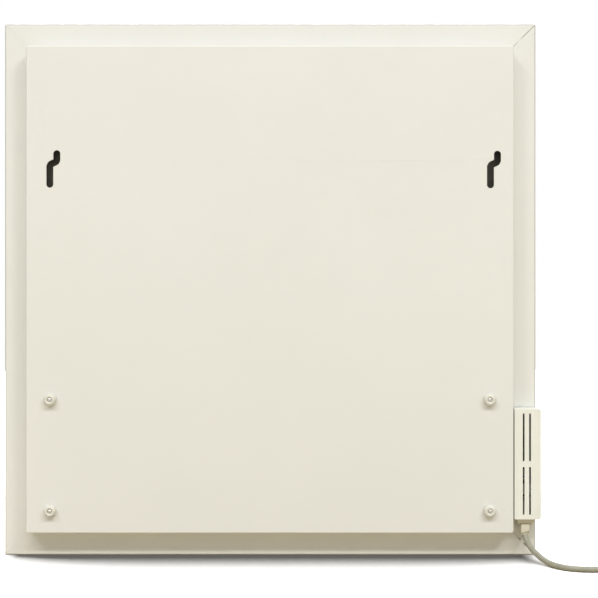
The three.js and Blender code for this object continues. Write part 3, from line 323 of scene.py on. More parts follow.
heatingCloth = {
    "colours": ("#26282a", "#3a3d40"), "relief": (0.0001, 0.6),
    "thread": 0.0024,  # threads are 1.2 mm apart, drawn twice as coarse so that they show
    "waveRepeat": 0.32,  # of the wave pattern at scale 1
    "roughness": (0.65, 0.5), "span": (0, 1),
}


# Glass cloth with a carbon heating film: charcoal laminate in which the weave just stands out.
def carbonLaminate(cloth):
    material, tree, place = newMaterial("carbonLaminate")
    across, upward = [addNode(tree, "ShaderNodeTexWave", {
        "Vector": place, "Scale": cloth["waveRepeat"] / cloth["thread"]},
        wave_type="BANDS", bands_direction=way) for way in "XZ"]
    weave = addNode(tree, "ShaderNodeMath", {0: across.outputs["Fac"], 1: upward.outputs["Fac"]},
                    operation="MAXIMUM")
    addSurface(tree, cloth, weave.outputs["Value"], weave.outputs["Value"], {"IOR": 1.55})
    return material


solderMask = {
    "colours": ("#2f5136", "#3d6646"), "track": 0.003, "edge": (0.10, 0.14),
    "relief": (0.00006, 0.5), "roughness": (0.28, 0.4), "span": (0, 1),
}


# Green solder mask over etched copper: semi-gloss, paler above the tracks.
def circuitGreen(mask):
    material, tree, place = newMaterial("circuitGreen")
    tracks = addNode(tree, "ShaderNodeTexVoronoi", {"Vector": place, "Scale": 1 / mask["track"]},
                     distance="MANHATTAN", feature="DISTANCE_TO_EDGE")
    edge = addNode(tree, "ShaderNodeMapRange", {
        "Value": tracks.outputs["Distance"], "From Min": mask["edge"][0],
        "From Max": mask["edge"][1]})
    addSurface(tree, mask, edge.outputs["Result"], edge.outputs["Result"], {"IOR": 1.5})
    return material


lampGlass = {
    "colours": ("#b8321f", "#cf4a30"), "facet": 0.0012, "relief": (0.0001, 0.4),
    "roughness": (0.08, 0.2), "span": (0, 1),
}


# Polycarbonate lens: clear red with fine inner facets that scatter the lamp.
def redPolycarbonate(glass):
    material, tree, place = newMaterial("redPolycarbonate")
    facet = addNode(tree, "ShaderNodeTexVoronoi", {"Vector": place, "Scale": 1 / glass["facet"]})
    addSurface(tree, glass, facet.outputs["Distance"], facet.outputs["Distance"], {
        "IOR": 1.58, "Transmission Weight": 0.35, "Coat Weight": 0.4, "Coat Roughness": 0.05})
    return material


finishes = {
    "powder": ivoryPowderCoat(powderCoat),
    "abs": mouldedPlastic("creamAbs", creamAbs),
    "nylon": mouldedPlastic("milkyNylon", milkyNylon),
    "pvc": mouldedPlastic("greyPvc", greyPvc),
    "black": mouldedPlastic("blackNylon", blackNylon),
    "pocket": mouldedPlastic("dustyNylon", dustyNylon),
    "bush": mouldedPlastic("shadedCreamPvc", shadedCream),
    "ink": mouldedPlastic("paleInk", paleInk),
    "zinc": brightZinc(zincPlate),
    "wool": pressedWool(mineralWool),
    "laminate": carbonLaminate(heatingCloth),
    "circuit": circuitGreen(solderMask),
    "lens": redPolycarbonate(lampGlass),
    "live": mouldedPlastic("brownSilicone", brownSilicone),
    "neutral": mouldedPlastic("blueSilicone", blueSilicone),
    "earth": mouldedPlastic("greenSilicone", greenSilicone),
}
nodeFinishes = [  # the first part of a kept node's name, and its finish
    ("slot_pocket", "pocket"), ("heating_mat", "laminate"), ("insulation_board", "wool"),
    ("thermal_cutout", "black"), ("cutout_link", "live"), ("mat_terminal", "zinc"),
    ("earth_", "zinc"), ("dial_spindle", "zinc"), ("regulator_body", "black"),
    ("circuit_board", "circuit"), ("relay", "black"), ("terminal_block", "nylon"),
    ("terminal_screw", "zinc"), ("lead_grommet", "black"), ("core_neutral", "neutral"),
    ("core_live", "live"), ("core_earth", "earth"), ("sheath_inside", "pvc"),
]


def paint(piece, finish):
    piece.data.materials.clear()
    piece.data.materials.append(finishes[finish])


for start, finish in nodeFinishes:
    for name, node in nodes.items():
        if name.startswith(start):
            paint(node, finish)
paint(cordPiece, "pvc")
print("materials:", len(finishes))


def leave():
    bpy.ops.object.mode_set(mode="OBJECT")


def activate(piece):
    if bpy.context.mode != "OBJECT":
        leave()
    deselect()
    piece.select_set(True)
    bpy.context.view_layer.objects.active = piece


def settle(piece, **place):  # its place, turn and size go into its mesh
    for name, value in place.items():
        setattr(piece, name, value)
    activate(piece)
    bpy.ops.object.transform_apply(location=True, rotation=True, scale=True)
    return piece


def addBlock(name, low, high, turn=0):  # turned about Y, round its own middle
    deselect()
    bpy.ops.mesh.primitive_cube_add(size=1, location=[(a + b) / 2 for a, b in zip(low, high)])
    return settle(newest(name), scale=[b - a for a, b in zip(low, high)],
                  rotation_euler=(0, turn, 0))


def addRod(name, start, end, radius, sides=48):
    axis = Vector(end) - Vector(start)
    deselect()
    bpy.ops.mesh.primitive_cylinder_add(vertices=sides, radius=radius, depth=axis.length,
                                        location=(Vector(start) + Vector(end)) / 2)
    return settle(newest(name), rotation_euler=axis.to_track_quat("Z", "Y").to_euler())


def edit(piece, kind):
    activate(piece)
    bpy.ops.object.mode_set(mode="EDIT")
    bpy.ops.mesh.select_mode(type=kind)
    bpy.ops.mesh.select_all(action="DESELECT")
    return bmesh.from_edit_mesh(piece.data)


def editAll(piece, kind):
    edit(piece, kind)
    bpy.ops.mesh.select_all(action="SELECT")


def chooseFaces(piece, test):  # by middle and normal
    for face in edit(piece, "FACE").faces:
        if test(face.calc_center_median(), face.normal):
            face.select_set(True)
    bmesh.update_edit_mesh(piece.data)


def chooseEdges(piece, test, sharp=math.radians(20)):  # by both ends, where faces meet at an angle
    for edge in edit(piece, "EDGE").edges:
        if edge.calc_face_angle(0) > sharp and test(edge.verts[0].co, edge.verts[1].co):
            edge.select_set(True)
    bmesh.update_edit_mesh(piece.data)


def choosePoints(piece, test):
    for vertex in edit(piece, "VERT").verts:
        if test(vertex.co):
            vertex.select_set(True)
    bmesh.update_edit_mesh(piece.data)


def bevelEdges(piece, width, segments, test):
    chooseEdges(piece, test)
    bpy.ops.mesh.bevel(offset=width, segments=segments, affect="EDGES", clamp_overlap=False)
    leave()


def inDepth(a, b):  # an edge from front to rear
    return abs(a.y - b.y) > hair


def pull(shift):  # extrudes the chosen faces
    bpy.ops.mesh.extrude_region_move(TRANSFORM_OT_translate={"value": shift})


def takeFaces(piece, test):
    chooseFaces(piece, test)
    bpy.ops.mesh.delete(type="FACE")
    leave()


def addStrip(name, start, end, radius, y0, y1, sides=34):  # a round-ended bar, placed by X and Z
    piece = addRod(name, (start[0], y0, start[1]), (start[0], y1, start[1]), radius, sides)
    run = Vector((end[0] - start[0], 0, end[1] - start[1]))
    middle = Vector((start[0], 0, start[1]))
    choosePoints(piece, lambda place: (place - middle).dot(run) > 0)
    bpy.ops.transform.translate(value=run)
    leave()
    return piece


# A profile is a row of (distance from the axis, place along it).
def spinProfile(name, profile, centre, steps=48, axis=(0, 1, 0), merge=0.000002):
    along = Vector(axis).normalized()
    outward = along.orthogonal().normalized()
    places = [Vector(centre) + outward * radius + along * height for radius, height in profile]
    deselect()
    bpy.ops.mesh.primitive_plane_add(size=1)
    piece = newest(name)
    editAll(piece, "VERT")
    bpy.ops.mesh.merge(type="CENTER")
    bpy.ops.transform.translate(value=places[0])
    for here, there in zip(places, places[1:]):
        bpy.ops.mesh.extrude_vertices_move(TRANSFORM_OT_translate={"value": there - here})
    bpy.ops.mesh.select_all(action="SELECT")
    bpy.ops.mesh.spin(steps=steps, angle=2 * math.pi, center=centre, axis=along)
    bpy.ops.mesh.select_all(action="SELECT")
    bpy.ops.mesh.remove_doubles(threshold=merge)
    bpy.ops.mesh.normals_make_consistent(inside=False)
    leave()
    return piece


def applyModifier(piece, kind, **settings):
    activate(piece)
    bpy.ops.object.modifier_add(type=kind)
    change = piece.modifiers[-1]
    for name, value in settings.items():
        setattr(change, name, value)
    bpy.ops.object.modifier_apply(modifier=change.name)


def cutAway(piece, *cutters, operation="DIFFERENCE"):
    for cutter in cutters:
        applyModifier(piece, "BOOLEAN", object=cutter, operation=operation, solver="EXACT")
        bpy.data.objects.remove(cutter)


def join(piece, *others):
    cutAway(piece, *others, operation="UNION")


def thicken(piece, wall):  # inwards
    applyModifier(piece, "SOLIDIFY", thickness=wall, offset=-1, use_even_offset=True)


def soften(piece, width, segments=2, sharp=math.radians(35)):  # every sharp edge
    applyModifier(piece, "BEVEL", width=width, segments=segments, limit_method="ANGLE",
                  angle_limit=sharp)


def copyPiece(piece, name, shift):
    activate(piece)
    bpy.ops.object.duplicate(linked=False)
    return settle(newest(name), location=shift)


def weld(piece, sliver=0.000004):  # what a cut leaves
    editAll(piece, "VERT")
    bpy.ops.mesh.remove_doubles(threshold=sliver)
    bpy.ops.mesh.dissolve_degenerate(threshold=sliver)
    leave()


def finishPiece(piece, finish, slot, *replaced, body="heater"):
    weld(piece)
    bpy.ops.object.shade_smooth_by_angle(angle=math.radians(40))
    applyModifier(piece, "WEIGHTED_NORMAL", keep_sharp=True)
    if len(piece.data.materials) < 2:
        paint(piece, finish)
    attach(piece, body)
    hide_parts(*replaced)
    print(piece.name + ":", len(piece.data.polygons), "faces")


rearPan = {
    "side": 0.5438,
    "face": 0.030,  # its raised rear face
    "lipFace": 0.0087,  # rear side of the lip that the tray holds
    "lipWidth": 0.009,
    "corner": 0.0025,
    "fold": 0.0011,
    "footFold": 0.001,
    "sheet": 0.001,
    "lipNotch": ((-0.3010, 0.0060, 0.0339), (-0.27195, 0.0095, 0.1762)),  # beside the housing
    "screwHole": 0.0014,
    "rim": 0.0003,  # softness of the punched slots' rims under the coat
}
hangingSlots = {
    "places": ((0.2455, 0), (-0.2461, -0.0006)),  # across, and how far up
    "width": 0.0077,
    # down from the upper end, in a bend to the side, then the run that hangs on the hook
    "path": [(-0.0078, 0.45135), (-0.0078, 0.4444), (-0.0069, 0.4425), (-0.0054, 0.4416),
             (-0.0024, 0.4403), (-0.0009, 0.4393), (0, 0.4374), (0, 0.41733)],
}
spacerPlaces = {
    "upper_left": (0.245, 0.177), "upper_right": (-0.245, 0.177),
    "lower_left": (0.245, 0.053), "lower_right": (-0.245, 0.053),
}


def makeRearPan(pan, slots):
    deselect()
    bpy.ops.mesh.primitive_plane_add(
        size=pan["side"] + 2 * pan["lipWidth"], rotation=(-math.pi / 2, 0, 0),
        location=(0, pan["lipFace"], panelMiddle))
    piece = settle(newest("rearPan"))
    editAll(piece, "FACE")
    bpy.ops.mesh.inset(thickness=pan["lipWidth"])
    pull((0, pan["face"] - pan["lipFace"], 0))
    leave()
    bevelEdges(piece, pan["corner"], 6, inDepth)
    bevelEdges(piece, pan["fold"], 4, lambda a, b: min(a.y, b.y) > pan["face"] - hair)
    bevelEdges(piece, pan["footFold"], 4, lambda a, b: max(a.y, b.y) < pan["lipFace"] + hair)
    thicken(piece, pan["sheet"])
    cutAway(piece, addBlock("cutter", *pan["lipNotch"]))
    low, high = pan["face"] - 3 * pan["sheet"], pan["face"] + pan["sheet"]
    for across, up in slots["places"]:
        path = [(across + x, up + z) for x, z in slots["path"]]
        cutAway(piece, *[addStrip("cutter", start, end, slots["width"] / 2, low, high)
                         for start, end in zip(path, path[1:])])
    cutAway(piece, *[addRod("cutter", (x, low, z), (x, high, z), pan["screwHole"], 24)
                     for x, z in spacerPlaces.values()])
    bevelEdges(piece, pan["rim"], 2, lambda a, b: min(a.y, b.y) > pan["face"] - hair)
    return piece


finishPiece(makeRearPan(rearPan, hangingSlots), "powder", "powder_coat", "rear_pan")

frontTray = {
    "low": (-0.3, -0.01, 0),
    "high": (0.3, 0.01, 0.6),
    "fold": 0.0018,
    "sheet": 0.001,
    "openingSide": 0.5444,
    "openingCorner": 0.0028,
    "notch": ((-0.3031, -0.0083, 0.0426), (-0.2705, 0.0115, 0.1675)),  # for the control housing
    # mitred seams: which corner, from and to as shares of the way out, and how far open
    "seams": [
        (-1, 1, 0.06, 0.26, 0.0005), (-1, 1, 0.43, 1.05, 0.0005),
        (-1, -1, 0.1, 0.39, 0.0011), (-1, -1, 0.5, 0.68, 0.0009),
        (1, 1, 0.05, 1.05, 0.00012), (1, -1, 0.05, 1.05, 0.00008),
    ],
}


def seamCutter(tray, sideX, sideZ, start, end, width):
    inner = tray["openingSide"] / 2
    reach = tray["high"][0] - inner
    middle = inner + reach * (start + end) / 2
    length = reach * (end - start) * math.sqrt(2)
    centre = Vector((sideX * middle, tray["high"][1], panelMiddle + sideZ * middle))
    size = Vector((length / 2, 2 * tray["sheet"], width / 2))
    return addBlock("cutter", centre - size, centre + size, -sideX * sideZ * math.pi / 4)


def makeFrontTray(tray):
    piece = addBlock("frontTray", tray["low"], tray["high"])
    bevelEdges(piece, tray["fold"], 6, lambda a, b: True)
    thicken(piece, tray["sheet"])
    half = tray["openingSide"] / 2
    rear = tray["high"][1]
    opening = addBlock("cutter", (-half, rear - 2 * tray["sheet"], panelMiddle - half),
                       (half, rear + tray["sheet"], panelMiddle + half))
    bevelEdges(opening, tray["openingCorner"], 6, inDepth)
    seams = [seamCutter(tray, *seam) for seam in tray["seams"]]
    cutAway(piece, opening, addBlock("cutter", *tray["notch"]), *seams)
    return piece


finishPiece(makeFrontTray(frontTray), "powder", "powder_coat", "front_tray")

wallSpacer = {
    "foot": 0.0303,  # just clear of the pan's face
    # from the screw hole out along the foot, over the shoulder and top, and down the recess
    "profile": [
        (0.0014, 0), (0.0070, 0), (0.00725, 0.0003), (0.00715, 0.0012), (0.0068, 0.0028),
        (0.0064, 0.0041), (0.0058, 0.0051), (0.0051, 0.0058), (0.0044, 0.0060), (0.0033, 0.0058),
        (0.0028, 0.0054), (0.0025, 0.0050), (0.0024, 0.0047), (0.0024, 0.0027), (0.0014, 0.0027),
        (0.0014, 0),
    ],
    "screw": [
        (0, -0.0060), (0.0004, -0.0058), (0.0011, -0.0049), (0.0011, 0.0031), (0.0021, 0.0031),
        (0.0023, 0.0032), (0.0023, 0.0043), (0.0020, 0.0048), (0.0012, 0.0051), (0, 0.0051),
    ],
    "recess": (0.0022, 0.0005, 0.0005),  # length, width and depth of the cross
}


def makeSpacerScrew(values):
    screw = spinProfile("spacerScrew", values["screw"], (0, values["foot"], 0), 32)
    length, width, depth = values["recess"]
    top = values["foot"] + values["screw"][-1][1]
    cross, arm = [addBlock("cutter", (-a / 2, top - depth, -b / 2), (a / 2, top + depth, b / 2))
                  for a, b in ((length, width), (width, length))]
    join(cross, arm)
    cutAway(screw, cross)
    return screw


spacerPattern = spinProfile("spacer", wallSpacer["profile"], (0, wallSpacer["foot"], 0), 64)
screwPattern = makeSpacerScrew(wallSpacer)
for place, (x, z) in spacerPlaces.items():
    side = place.title().replace("_", "")
    finishPiece(copyPiece(spacerPattern, "wallSpacer" + side, (x, 0, z)),
                "nylon", "cream_plastic", "wall_spacer_" + place)
    finishPiece(copyPiece(screwPattern, "spacerScrew" + side, (x, 0, z)),
                "zinc", "zinc_steel", "spacer_screw_" + place)
bpy.data.objects.remove(spacerPattern)
bpy.data.objects.remove(screwPattern)

controlHousing = {
    "low": (-0.3028, -0.0080, 0.0429),
    "high": (-0.2730, 0.0300, 0.1672),
    "split": 0.02,  # where base and cover meet
    "joint": 0.0003,
    "outerCorner": 0.0032,
    "innerCorner": 0.0016,
    "edge": 0.001,
    "wall": 0.002,
    "neckHole": ((-0.2936, 0.0154, 0.0409), (-0.2784, 0.0246, 0.0469)),
    "rim": 0.00025,
}
controlCover = {
    "ventColumns": (-0.2832, -0.2903),
    "ventRows": ((0.0495, 0.10095), (0.10915, 0.1606)),  # centres of each vent's round ends
    "ventRadius": 0.001,
    "hookRows": (0.0740, 0.1361),
    "hookHalf": 0.0045,
    "hookEdge": 0.0005,
    # a tongue inside each long wall, and the bridge that joins it to the cover above the rim
    "hooks": [((-0.3005, 0.01515), (-0.2993, 0.02415)), ((-0.2765, 0.01515), (-0.2753, 0.02415))],
    "bridges": [((-0.3011, 0.02045), (-0.2993, 0.02415)),
                ((-0.2765, 0.02045), (-0.2747, 0.02415))],
}
controlBase = {
    "dialSlot": ((-0.3050, -0.0046, 0.1290), (-0.3002, 0.0016, 0.1514)),
    "switchHole": ((-0.3068, -0.0048, 0.0653), (-0.2988, 0.0070, 0.0845)),
    "lampHole": ((-0.3048, -0.0015, 0.0924), (-0.2988, -0.0015, 0.0924), 0.0028),
    "leadHole": ((-0.2770, 0.0013, 0.0820), (-0.2710, 0.0013, 0.0820), 0.0060),
    "posts": ((-0.2963, 0.0987), (-0.2963, 0.1607), (-0.2795, 0.0987), (-0.2795, 0.1607)),
    "postRadius": 0.002,
    "postTop": 0.0073,
    "rimTop": 0.009,  # the side's holes lie in front of this
}


def housingShell(name, values, y0, y1, openWay):  # openWay is -1 where it is open to the front
    low, high = values["low"], values["high"]
    piece = addBlock(name, (low[0], y0, low[2]), (high[0], y1, high[2]))
    middle = (low[0] + high[0]) / 2
    closed = y1 if openWay < 0 else y0
    bevelEdges(piece, values["outerCorner"], 8, lambda a, b: inDepth(a, b) and a.x < middle)
    bevelEdges(piece, values["innerCorner"], 6,
               lambda a, b: inDepth(a, b) and a.x > middle and b.x > middle)
    bevelEdges(piece, values["edge"], 5,
               lambda a, b: abs(a.y - closed) + abs(b.y - closed) < hair)
    takeFaces(piece, lambda centre, normal: normal.y * openWay > 0.9)
    thicken(piece, values["wall"])
    return piece


def makeControlCover(housing, cover):
    rear, wall = housing["high"][1], housing["wall"]
    piece = housingShell("controlCover", housing, housing["split"] + housing["joint"] / 2, rear, -1)
    vents = [addStrip("cutter", (x, low), (x, high), cover["ventRadius"], rear - 2 * wall,
                      rear + wall) for x in cover["ventColumns"] for low, high in cover["ventRows"]]
    cutAway(piece, addBlock("cutter", *housing["neckHole"]), *vents)
    bevelEdges(piece, housing["rim"], 2, lambda a, b: min(a.y, b.y) > rear - hair)
    half = cover["hookHalf"]
    for z in cover["hookRows"]:
        for (low, high), (bridgeLow, bridgeHigh) in zip(cover["hooks"], cover["bridges"]):
            hook = addBlock("hook", (*low, z - half), (*high, z + half))
            bevelEdges(hook, cover["hookEdge"], 2, lambda a, b: max(a.y, b.y) < low[1] + hair)
            join(piece, addBlock("bridge", (*bridgeLow, z - half), (*bridgeHigh, z + half)), hook)
    return piece


def makeControlBase(housing, base):
    low = housing["low"]
    piece = housingShell("controlBase", housing, low[1], housing["split"] - housing["joint"] / 2, 1)
    floor = low[1] + housing["wall"] / 2
    join(piece, *[addRod("post", (x, floor, z), (x, base["postTop"], z), base["postRadius"], 24)
                  for x, z in base["posts"]])
    cutAway(piece, *[addBlock("cutter", *box) for box in (
        base["dialSlot"], base["switchHole"], housing["neckHole"])],
        addRod("cutter", *base["lampHole"]), addRod("cutter", *base["leadHole"]))
    bevelEdges(piece, housing["rim"], 2, lambda a, b: max(a.x, b.x) < low[0] + hair
               and max(a.y, b.y) < base["rimTop"])
    return piece


finishPiece(makeControlCover(controlHousing, controlCover), "abs", "cream_plastic", "control_cover")
finishPiece(makeControlBase(controlHousing, controlBase), "abs", "cream_plastic", "control_base")

thermostatDial = {
    "centre": (-0.2910, -0.0015, 0.1402),
    "radius": 0.014,
    "thickness": 0.005,
    "ribs": 30,
    "ribDepth": 0.0006,
    "ribFlank": 0.0004,
    "rim": 0.003,
    "dish": 0.0017,
    "hubRadius": 0.005,
    "boreRadius": 0.0033,
    "flat": 0.0021,  # from the axis to the bore's flat
    "edge": 0.00025,
}


def makeDial(dial):
    x, y, z = dial["centre"]
    front, rear = y - dial["thickness"] / 2, y + dial["thickness"] / 2
    piece = addRod("thermostatDial", (x, front, z), (x, rear, z), dial["radius"], 4 * dial["ribs"])
    step = 2 * math.pi / dial["ribs"]
    chooseFaces(piece, lambda centre, normal: abs(normal.y) < 0.5
                and (math.atan2(centre.z - z, centre.x - x) % step) / step < 0.5)
    bpy.ops.mesh.inset(thickness=dial["ribFlank"], depth=-dial["ribDepth"])
    chooseFaces(piece, lambda centre, normal: normal.y < -0.9)
    bpy.ops.mesh.inset(thickness=dial["rim"])
    pull((0, dial["dish"], 0))
    bpy.ops.mesh.inset(thickness=dial["radius"] - dial["rim"] - dial["hubRadius"])
    pull((0, -dial["dish"], 0))
    leave()
    bore = addRod("cutter", (x, front - spare, z), (x, rear + spare, z), dial["boreRadius"], 40)
    wide = 2 * dial["hubRadius"]
    cutAway(bore, addBlock("cutter", (x - wide, front - 2 * spare, z - wide),
                           (x - dial["flat"], rear + 2 * spare, z + wide)))
    cutAway(piece, bore)
    soften(piece, dial["edge"])
    return piece


finishPiece(makeDial(thermostatDial), "abs", "cream_plastic", "thermostat_dial", body="dial")

rockerSwitch = {
    "bezel": ((-0.3043, -0.0057, 0.0644), (-0.3031, 0.0079, 0.0854)),
    "bezelEdge": 0.0004,
    "body": ((-0.3037, -0.0045, 0.0656), (-0.2858, 0.0067, 0.0842)),
    "contacts": [((-0.2866, 0.0007, 0.06785), (-0.2826, 0.0015, 0.07265)),
                 ((-0.2866, 0.0007, 0.07715), (-0.2826, 0.0015, 0.08195))],
    "contactEdge": 0.00015,
    "well": ((-0.3055, -0.0038, 0.0665), (-0.2946, 0.0060, 0.0833)),
    "corner": 0.0012,
    "pivot": (-0.3008, 0.0011, 0.0749),
    "keyHalf": 0.0072,
    "keyWidth": 0.0086,
    "keyEdge": 0.0004,
    "valley": 0.0035,  # from the pivot to the crease between the key's two faces
    "crest": 0.00451,  # from the pivot to the key's ends
    "back": 0.0018,
    "tilt": 8,  # degrees; at rest the lower half is pressed
    # the marks of the key's two faces, from the pivot: a stroke, and a ring's middle and two radii
    "stroke": ((-0.00412, -0.0014, 0.00410), (-0.00388, 0.0014, 0.00450)),
    "ring": ((-0.0040, 0, -0.0042), 0.0012, 0.0002),
}


def makeSwitchFrame(switch):
    piece = addBlock("switchFrame", *switch["bezel"])
    outer = switch["bezel"][0][0]
    bevelEdges(piece, switch["corner"], 5, lambda a, b: abs(a.x - b.x) > hair)
    bevelEdges(piece, switch["bezelEdge"], 3, lambda a, b: max(a.x, b.x) < outer + hair)
    join(piece, addBlock("body", *switch["body"]))
    cutAway(piece, addBlock("cutter", *switch["well"]))
    contacts = [addBlock("contact", *box) for box in switch["contacts"]]
    for contact in contacts:
        soften(contact, switch["contactEdge"])
    join(piece, *contacts)
    return piece


def makeSwitchKey(switch):
    half, wide = switch["keyHalf"], switch["keyWidth"] / 2
    piece = addBlock("switchKey", (-switch["crest"], -wide, -half), (0, wide, half))
    editAll(piece, "FACE")
    bpy.ops.mesh.bisect(plane_co=(0, 0, 0), plane_no=(0, 0, 1))
    chooseFaces(piece, lambda centre, normal: normal.x > 0.9)
    pull((switch["back"], 0, 0))
    bpy.ops.transform.resize(value=(1, 1, switch["back"] / half), center_override=(0, 0, 0))
    choosePoints(piece, lambda place: abs(place.z) < hair and place.x < -hair)
    bpy.ops.transform.translate(value=(switch["crest"] - switch["valley"], 0, 0))
    leave()
    soften(piece, switch["keyEdge"], 3)
    paint(piece, "black")
    place, radius, thickness = switch["ring"]
    marks = [addBlock("mark", *switch["stroke"])]
    deselect()
    bpy.ops.mesh.primitive_torus_add(
        major_radius=radius, minor_radius=thickness, major_segments=32, minor_segments=8,
        location=place, rotation=(0, math.pi / 2, 0))
    marks.append(settle(newest("mark")))
    activate(piece)
    for mark in marks:
        paint(mark, "ink")
        mark.select_set(True)
    bpy.ops.object.join()
    return settle(piece, rotation_euler=(0, -math.radians(switch["tilt"]), 0),
                  location=switch["pivot"])


finishPiece(makeSwitchFrame(rockerSwitch), "black", "dark_plastic", "switch_frame")
finishPiece(makeSwitchKey(rockerSwitch), "black", "dark_plastic", "switch_key", body="rocker")

indicatorLens = {
    "seat": (-0.3028, -0.0015, 0.0924),  # in the housing's side, the dome outwards
    "profile": [
        (0, 0.0018), (0.0009, 0.00172), (0.0017, 0.0015), (0.0023, 0.0012), (0.0032, 0.0012),
        (0.0034, 0.0010), (0.0034, 0.0003), (0.0025, 0.0003), (0.0025, -0.0088),
        (0.0023, -0.0090), (0, -0.0090),
    ],
}
finishPiece(spinProfile("indicatorLens", indicatorLens["profile"], indicatorLens["seat"],
                        axis=(-1, 0, 0)), "lens", "lamp_lens", "indicator_lens")

cordBush = {
    "axis": (-0.286, 0.02),
    "collarTop": 0.0426,
    "collarFoot": 0.038,
    "collarSize": (0.019, 0.013),
    "collarTaper": 0.0014,
    "collarEdge": 0.0006,
    "neckSize": (0.0146, 0.0086),
    "neckTop": 0.0452,
    "flangeSize": (0.017, 0.013),
    "flangeTop": 0.0468,
    "flangeEdge": 0.0004,
    "sleeveTop": 0.0377,
    "sleeveSize": (0.0096, 0.0090),
    "sleeveEdge": 0.0007,
    "squareFoot": 0.0262,  # the sleeve's square part ends here, in a round mouth
    "mouthRadius": 0.00385,
    "mouthLength": 0.007,
    "mouthEdge": 0.0004,
    "mouthLap": 0.001,  # how far the mouth reaches over the lead
    "mouthBore": 0.0034,
    "boreSink": 0.0003,  # below the lead's start
}


def centredBlock(name, axis, size, low, high):  # a block round an upright axis
    x, y = axis
    return addBlock(name, (x - size[0] / 2, y - size[1] / 2, low),
                    (x + size[0] / 2, y + size[1] / 2, high))


def makeCollar(bush):
    axis, foot, top = bush["axis"], bush["collarFoot"], bush["neckTop"]
    piece = centredBlock("cordCollar", axis, bush["collarSize"], foot, bush["collarTop"])
    chooseFaces(piece, lambda centre, normal: normal.z < -0.9)
    shrink = [1 - 2 * bush["collarTaper"] / side for side in bush["collarSize"]]
    bpy.ops.transform.resize(value=(*shrink, 1), center_override=(*axis, 0))
    leave()
    soften(piece, bush["collarEdge"], 3)
    neck = centredBlock("neck", axis, bush["neckSize"], foot + 2 * spare, top + spare)
    flange = centredBlock("flange", axis, bush["flangeSize"], top, bush["flangeTop"])
    soften(flange, bush["flangeEdge"])
    join(piece, neck, flange)
    return piece


def makeSleeve(bush, cord):
    start, second = (Vector(point) for point in cord["route"][:2])
    way = (second - start).normalized()
    end = start + way * bush["mouthLap"]
    piece = centredBlock("cordSleeve", bush["axis"], bush["sleeveSize"], bush["squareFoot"],
                         bush["sleeveTop"])
    editAll(piece, "FACE")
    bpy.ops.mesh.bisect(plane_co=start, plane_no=way, use_fill=True, clear_outer=True)
    leave()
    soften(piece, bush["sleeveEdge"], 3)
    mouth = addRod("mouth", end - way * bush["mouthLength"], end, bush["mouthRadius"])
    bevelEdges(mouth, bush["mouthEdge"], 3,
               lambda a, b: (a - end).dot(way) + (b - end).dot(way) > -hair)
    join(piece, mouth)
    cutAway(piece, addRod("cutter", start - way * bush["boreSink"], end + way * spare,
                          bush["mouthBore"]))
    return piece


collarPiece = makeCollar(cordBush)
sleevePiece = makeSleeve(cordBush, mainsCord)
# the collar and sleeve take a darker, warmer cream: painted shade from the housing above
finishPiece(collarPiece, "bush", "cream_plastic", "cord_collar")
finishPiece(sleevePiece, "bush", "cream_plastic", "cord_sleeve")

coilTie = {
    "centre": (-0.4170, 0.0574),
    "turn": 306,  # degrees about Z
    "low": (0.02463, -0.0045, 0),
    "high": (0.05097, 0.0045, 0.0165),
    "corner": 0.00435,
    "thickness": 0.0011,
    "edge": 0.0003,
}


def makeCoilTie(tie):
    piece = addBlock("coilTie", tie["low"], tie["high"])
    bevelEdges(piece, tie["corner"], 8, inDepth)
    takeFaces(piece, lambda centre, normal: abs(normal.y) > 0.9)
    thicken(piece, tie["thickness"])
    soften(piece, tie["edge"])
    return settle(piece, rotation_euler=(0, 0, math.radians(tie["turn"])),
                  location=(*tie["centre"], 0))


tiePiece = makeCoilTie(coilTie)
finishPiece(tiePiece, "black", "dark_plastic", "coil_tie")

mainsPlug = {
    "face": (-0.4674, -0.0437, 0.0185),
    "profile": [
        (0, 0), (0.0172, 0), (0.0180, 0.0003), (0.0185, 0.0010), (0.0185, 0.0204),
        (0.0182, 0.0214), (0.0166, 0.0234), (0.0160, 0.0244), (0.0116, 0.0356),
        (0.0106, 0.0372), (0.0094, 0.0379), (0.0060, 0.0380),
    ],
    "reliefStart": 0.0384,
    "reliefEnd": 0.063,
    "reliefRadii": (0.00545, 0.00445),
    "reliefEdge": 0.0003,
    "reliefGrooves": 5,
    "grooveDepth": 0.0008,
    "grooveShares": ((0.55, 0), (0.63, 1), (0.92, 1), (1.0, 0)),  # along a ring, and how deep
    "cordBore": 0.0034,
    "boreDepth": 0.0012,
    "clipGroove": (0.0040, 0.0161, 0.0195, 0.0180),  # half width, from and to off the axis, length
    "earthHole": (0.0100, 0.0026, 0.0150),  # above the axis, its radius and depth
    "pinSpacing": 0.019,
    "pinProfile": [(0, -0.0190), (0.0012, -0.0190), (0.0019, -0.0187), (0.0023, -0.0180),
                   (0.0024, -0.0172), (0.0024, 0.0058), (0.0022, 0.0060), (0, 0.0060)],
    "pinHole": (0.0027, 0.0063),
    "clipLow": (-0.0026, 0.0005, 0.0164),
    "clipHigh": (0.0026, 0.0170, 0.0174),
    "clipDent": (0.0012, 0.0003),  # in from its edges, and its depth
    "clipEdge": 0.0001,
}


def reliefProfile(plug):  # the bend relief tapers towards the lead, with rings cut into it
    start, end, edge = plug["reliefStart"], plug["reliefEnd"], plug["reliefEdge"]
    wide, narrow = plug["reliefRadii"]
    pitch = (end - start) / (plug["reliefGrooves"] + 0.5)
    points = [(wide, start)]
    for ring in range(plug["reliefGrooves"]):
        for share, sunk in plug["grooveShares"]:
            place = start + pitch * (ring + share)
            radius = wide + (narrow - wide) * (place - start) / (end - start)
            points.append((radius - sunk * plug["grooveDepth"], place))
    inner = end - plug["boreDepth"]
    return points + [(narrow, end - edge), (narrow - edge, end), (plug["cordBore"], end),
                     (plug["cordBore"], inner), (0, inner)]


